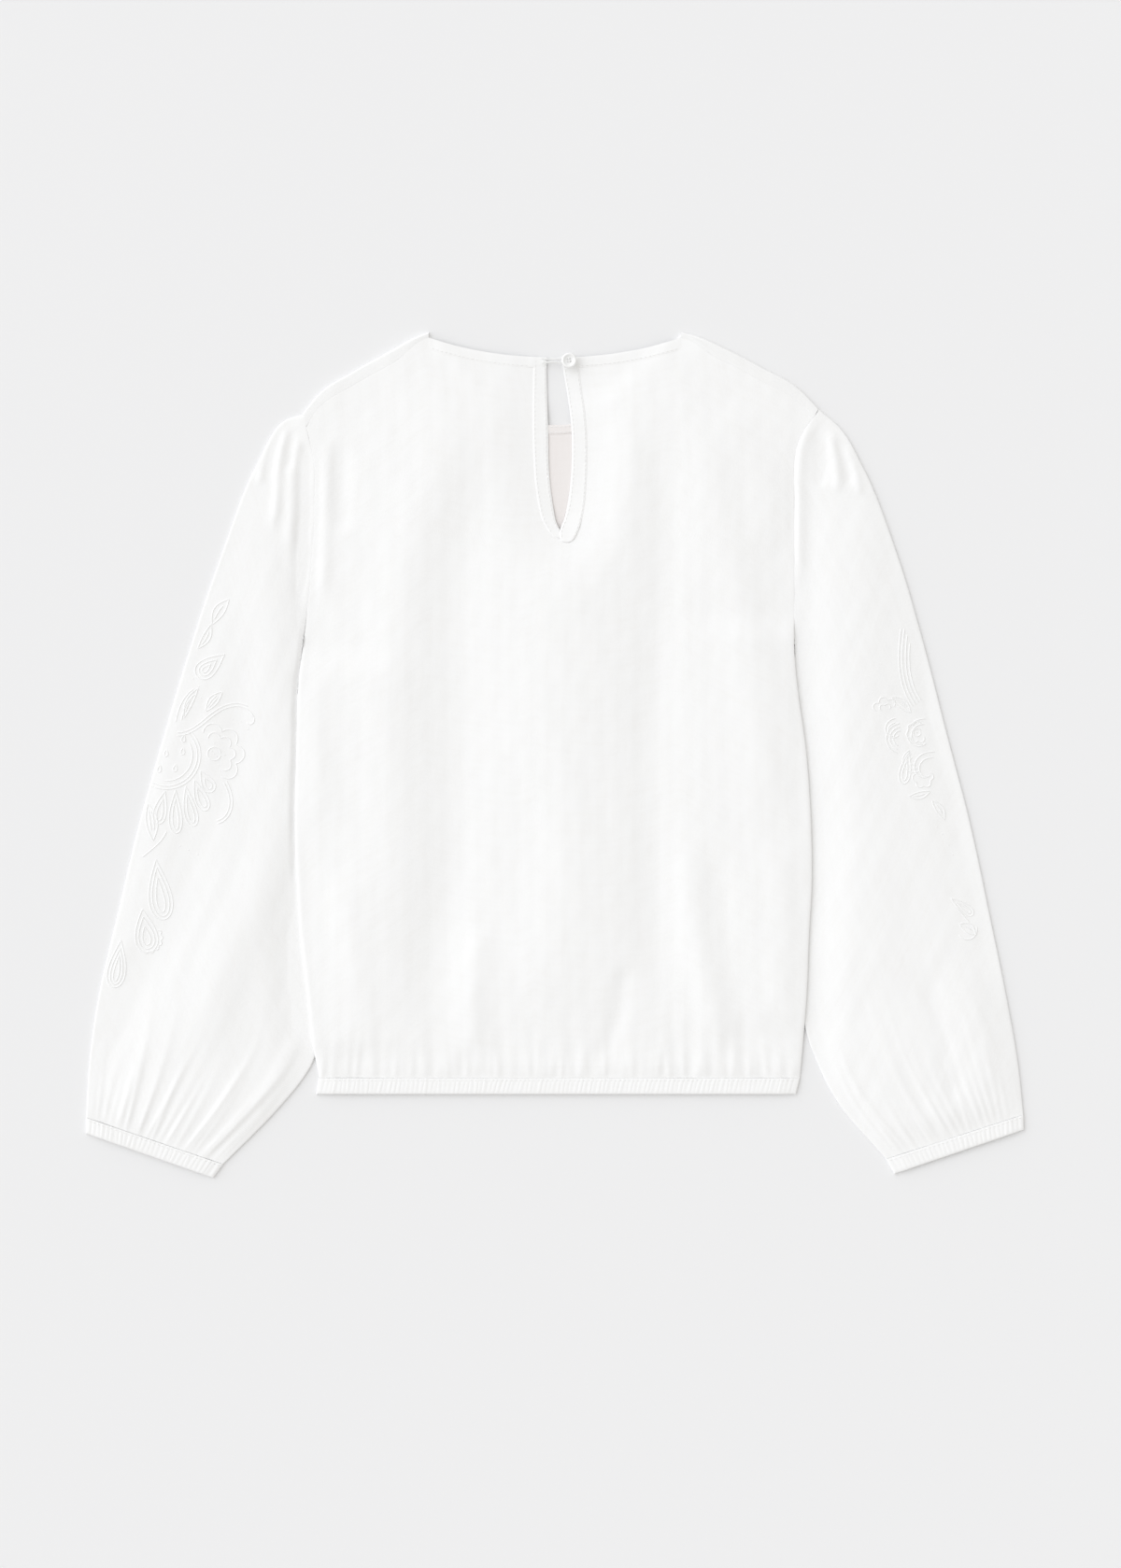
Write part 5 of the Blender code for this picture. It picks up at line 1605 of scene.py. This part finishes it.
STITCH_INSET = 1.3
sewn = []
for table in (LEFT_STRIP, RIGHT_STRIP):
    for on_left in (True, False):
        sewn += stitches(strip_line(table, STITCH_INSET, on_left), keyhole)
necks = {side: bpy.data.objects[f"neck_facing_{side}"] for side in ("left", "right")}
sewn += stitches(neck_line(-NECK_X + 1.0, -16.0), necks["left"])
sewn += stitches(neck_line(16.5, NECK_X - 1.0), necks["right"])
sewn += stitches(band_line(HEM_CORNERS, BAND_SEAM_SHARE), bands["hem"])
for side, corners in CUFF_CORNERS.items():
    sewn += stitches(band_line(corners, BAND_SEAM_SHARE), bands[f"cuff_{side}"])
front_x = np.linspace(-38.0, 38.0, 80)
front_wide = (front_edge_y(front_x) - UPPER_Y) * (1.0 - FRONT_UPPER[NECK_ROW])
for share in (0.2, 0.8):
    line = np.column_stack((front_x, front_edge_y(front_x) - share * front_wide))
    sewn += stitches(line, front_neck)
dress(thread_piece("seam_stitches", sewn, STITCH_RADIUS, sewing_thread), "thread")
print("stitches:", len(sewn))

# %% [markdown]
# ## The button and its loop
# The button is turned from a glossy white resin: a raised rim, a dished middle and four holes
# with thread through them. Its loop is a twisted thread from the other side of the keyhole.

# %% Make the button
(button_low, button_high) = (np.array(corner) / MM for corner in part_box("button"))
BUTTON_X, BUTTON_Y = 0.5 * (button_low + button_high)[:2]
STEM_RADIUS = 1.3
STEM_HEIGHT = 2.0
HOLE_RADIUS = 0.55
HOLE_OUT = 1.25
# Radius and height above the stem's foot, from the foot up and round to the middle
BUTTON_FACE = 3.36
BUTTON_PROFILE = (
    (STEM_RADIUS, 0.0), (STEM_RADIUS, STEM_HEIGHT), (4.3, STEM_HEIGHT), (4.8, 2.25), (5.05, 2.75),
    (5.1, 3.2), (4.95, 3.75), (4.6, 4.12), (4.15, 4.27), (3.7, 4.2), (3.3, 3.95), (2.9, 3.62),
    (2.3, 3.42), (1.2, BUTTON_FACE), (0.3, 3.35),
)

deselect_all()
first_radius, first_height = BUTTON_PROFILE[0]
middle = Vector((BUTTON_X, BUTTON_Y, button_low[2])) * MM
bpy.ops.mesh.primitive_circle_add(vertices=56, radius=first_radius * MM, fill_type="NGON",
                                  location=middle)
button = bpy.context.object
button.name = button.data.name = "button_turned"
bpy.ops.object.mode_set(mode="EDIT")
bpy.ops.mesh.select_all(action="SELECT")
bpy.ops.mesh.flip_normals()
bpy.ops.mesh.select_mode(type="EDGE")
bpy.ops.mesh.select_all(action="SELECT")
last_radius, last_height = first_radius, first_height
for radius, height in BUTTON_PROFILE[1:]:
    step_up = (0.0, 0.0, (height - last_height) * MM)
    bpy.ops.mesh.extrude_edges_move(TRANSFORM_OT_translate={"value": step_up})
    ratio = radius / last_radius
    bpy.ops.transform.resize(value=(ratio, ratio, 1.0), center_override=middle)
    last_radius, last_height = radius, height
bpy.ops.mesh.edge_face_add()
bpy.ops.mesh.select_all(action="SELECT")
bpy.ops.mesh.normals_make_consistent(inside=False)
bpy.ops.object.mode_set(mode="OBJECT")
print("button:", len(button.data.polygons), "faces")

# %% Drill its holes and finish it
hole_places = []
for k in range(4):
    turn = math.radians(45.0 + 90.0 * k + 12.0)
    hole_places.append((BUTTON_X + HOLE_OUT * math.cos(turn),
                        BUTTON_Y + HOLE_OUT * math.sin(turn)))
for x, y in hole_places:
    deselect_all()
    bpy.ops.mesh.primitive_cylinder_add(vertices=16, radius=HOLE_RADIUS * MM, depth=1.2 * MM,
                                        location=(x * MM, y * MM, middle.z + 3.4 * MM))
    drill = bpy.context.object
    cut = button.modifiers.new("hole", "BOOLEAN")
    cut.operation = "DIFFERENCE"
    cut.solver = "EXACT"
    cut.object = drill
    select_only(button)
    bpy.ops.object.modifier_apply(modifier=cut.name)
    bpy.data.objects.remove(drill, do_unlink=True)
select_only(button)
bpy.ops.object.transform_apply(location=True, rotation=True, scale=True)
bpy.ops.object.shade_smooth_by_angle(angle=math.radians(40.0))

resin, tree, shader = new_material("white_button_resin", (0.94, 0.94, 0.935), 0.22)
shader.inputs["Coat Weight"].default_value = 0.5
shader.inputs["Coat Roughness"].default_value = 0.08
clouds = noise_node(tree, object_places(tree), 420.0, 3.0)
tones = tree.nodes.new("ShaderNodeMix")
tones.data_type = "RGBA"
tones.inputs["A"].default_value = (0.90, 0.905, 0.90, 1.0)
tones.inputs["B"].default_value = (0.96, 0.958, 0.95, 1.0)
tree.links.new(clouds, tones.inputs["Factor"])
tree.links.new(tones.outputs["Result"], shader.inputs["Base Color"])
button.data.materials.clear()
button.data.materials.append(resin)
dress(button, "button", "button")

# %% Make the loop and the button's thread
LOOP_STRAND = 0.3
LOOP_TWIST = 0.27
LOOP_TURN_LENGTH = 2.6
LOOP_STEP = 0.3
LOOP_START_X = -9.0
loop_height = 0.5 * (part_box("button_loop")[0][2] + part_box("button_loop")[1][2]) / MM
around = STEM_RADIUS + 0.9
loop_route = [(LOOP_START_X, BUTTON_Y + 1.5), (-4.0, BUTTON_Y + 1.0), (1.0, BUTTON_Y + 1.2),
              (6.0, BUTTON_Y + 1.8)]
for k in range(13):
    turn = math.radians(90.0 - 15.0 * k)
    loop_route.append((BUTTON_X + around * math.cos(turn), BUTTON_Y + around * math.sin(turn)))
loop_route += [(6.0, BUTTON_Y - 1.6), (1.0, BUTTON_Y - 1.1), (-4.0, BUTTON_Y - 1.0),
               (LOOP_START_X, BUTTON_Y - 1.5)]
loop_route = np.array(loop_route)
run = run_along(loop_route)
at = np.arange(0.0, run[-1], LOOP_STEP)
plan = spots_along(loop_route, run, at)
strands = []
for start in (0.0, math.pi):
    turn = 2.0 * math.pi * at / LOOP_TURN_LENGTH + start
    swing = (beside(plan, 1.0) - plan) * (LOOP_TWIST * np.cos(turn))[:, None]
    strands.append(np.column_stack((plan + swing, loop_height + LOOP_TWIST * np.sin(turn))))
loop = thread_piece("button_loop_thread", strands, LOOP_STRAND, sewing_thread)
dress(loop, "thread", "button_loop")

thread_top = button_low[2] + BUTTON_FACE
bars = []
for first, second in ((0, 1), (3, 2)):
    start, end = np.array(hole_places[first]), np.array(hole_places[second])
    for shift in (-0.16, 0.16):
        spots = start + np.outer(np.linspace(0.0, 1.0, 6), end - start)
        spots = spots + shift * np.array((0.3, 1.0))
        rise = np.array([-0.35, 0.1, 0.2, 0.2, 0.1, -0.35])
        bars.append(np.column_stack((spots, thread_top + rise)))
dress(thread_piece("button_thread", bars, 0.17, sewing_thread), "thread")
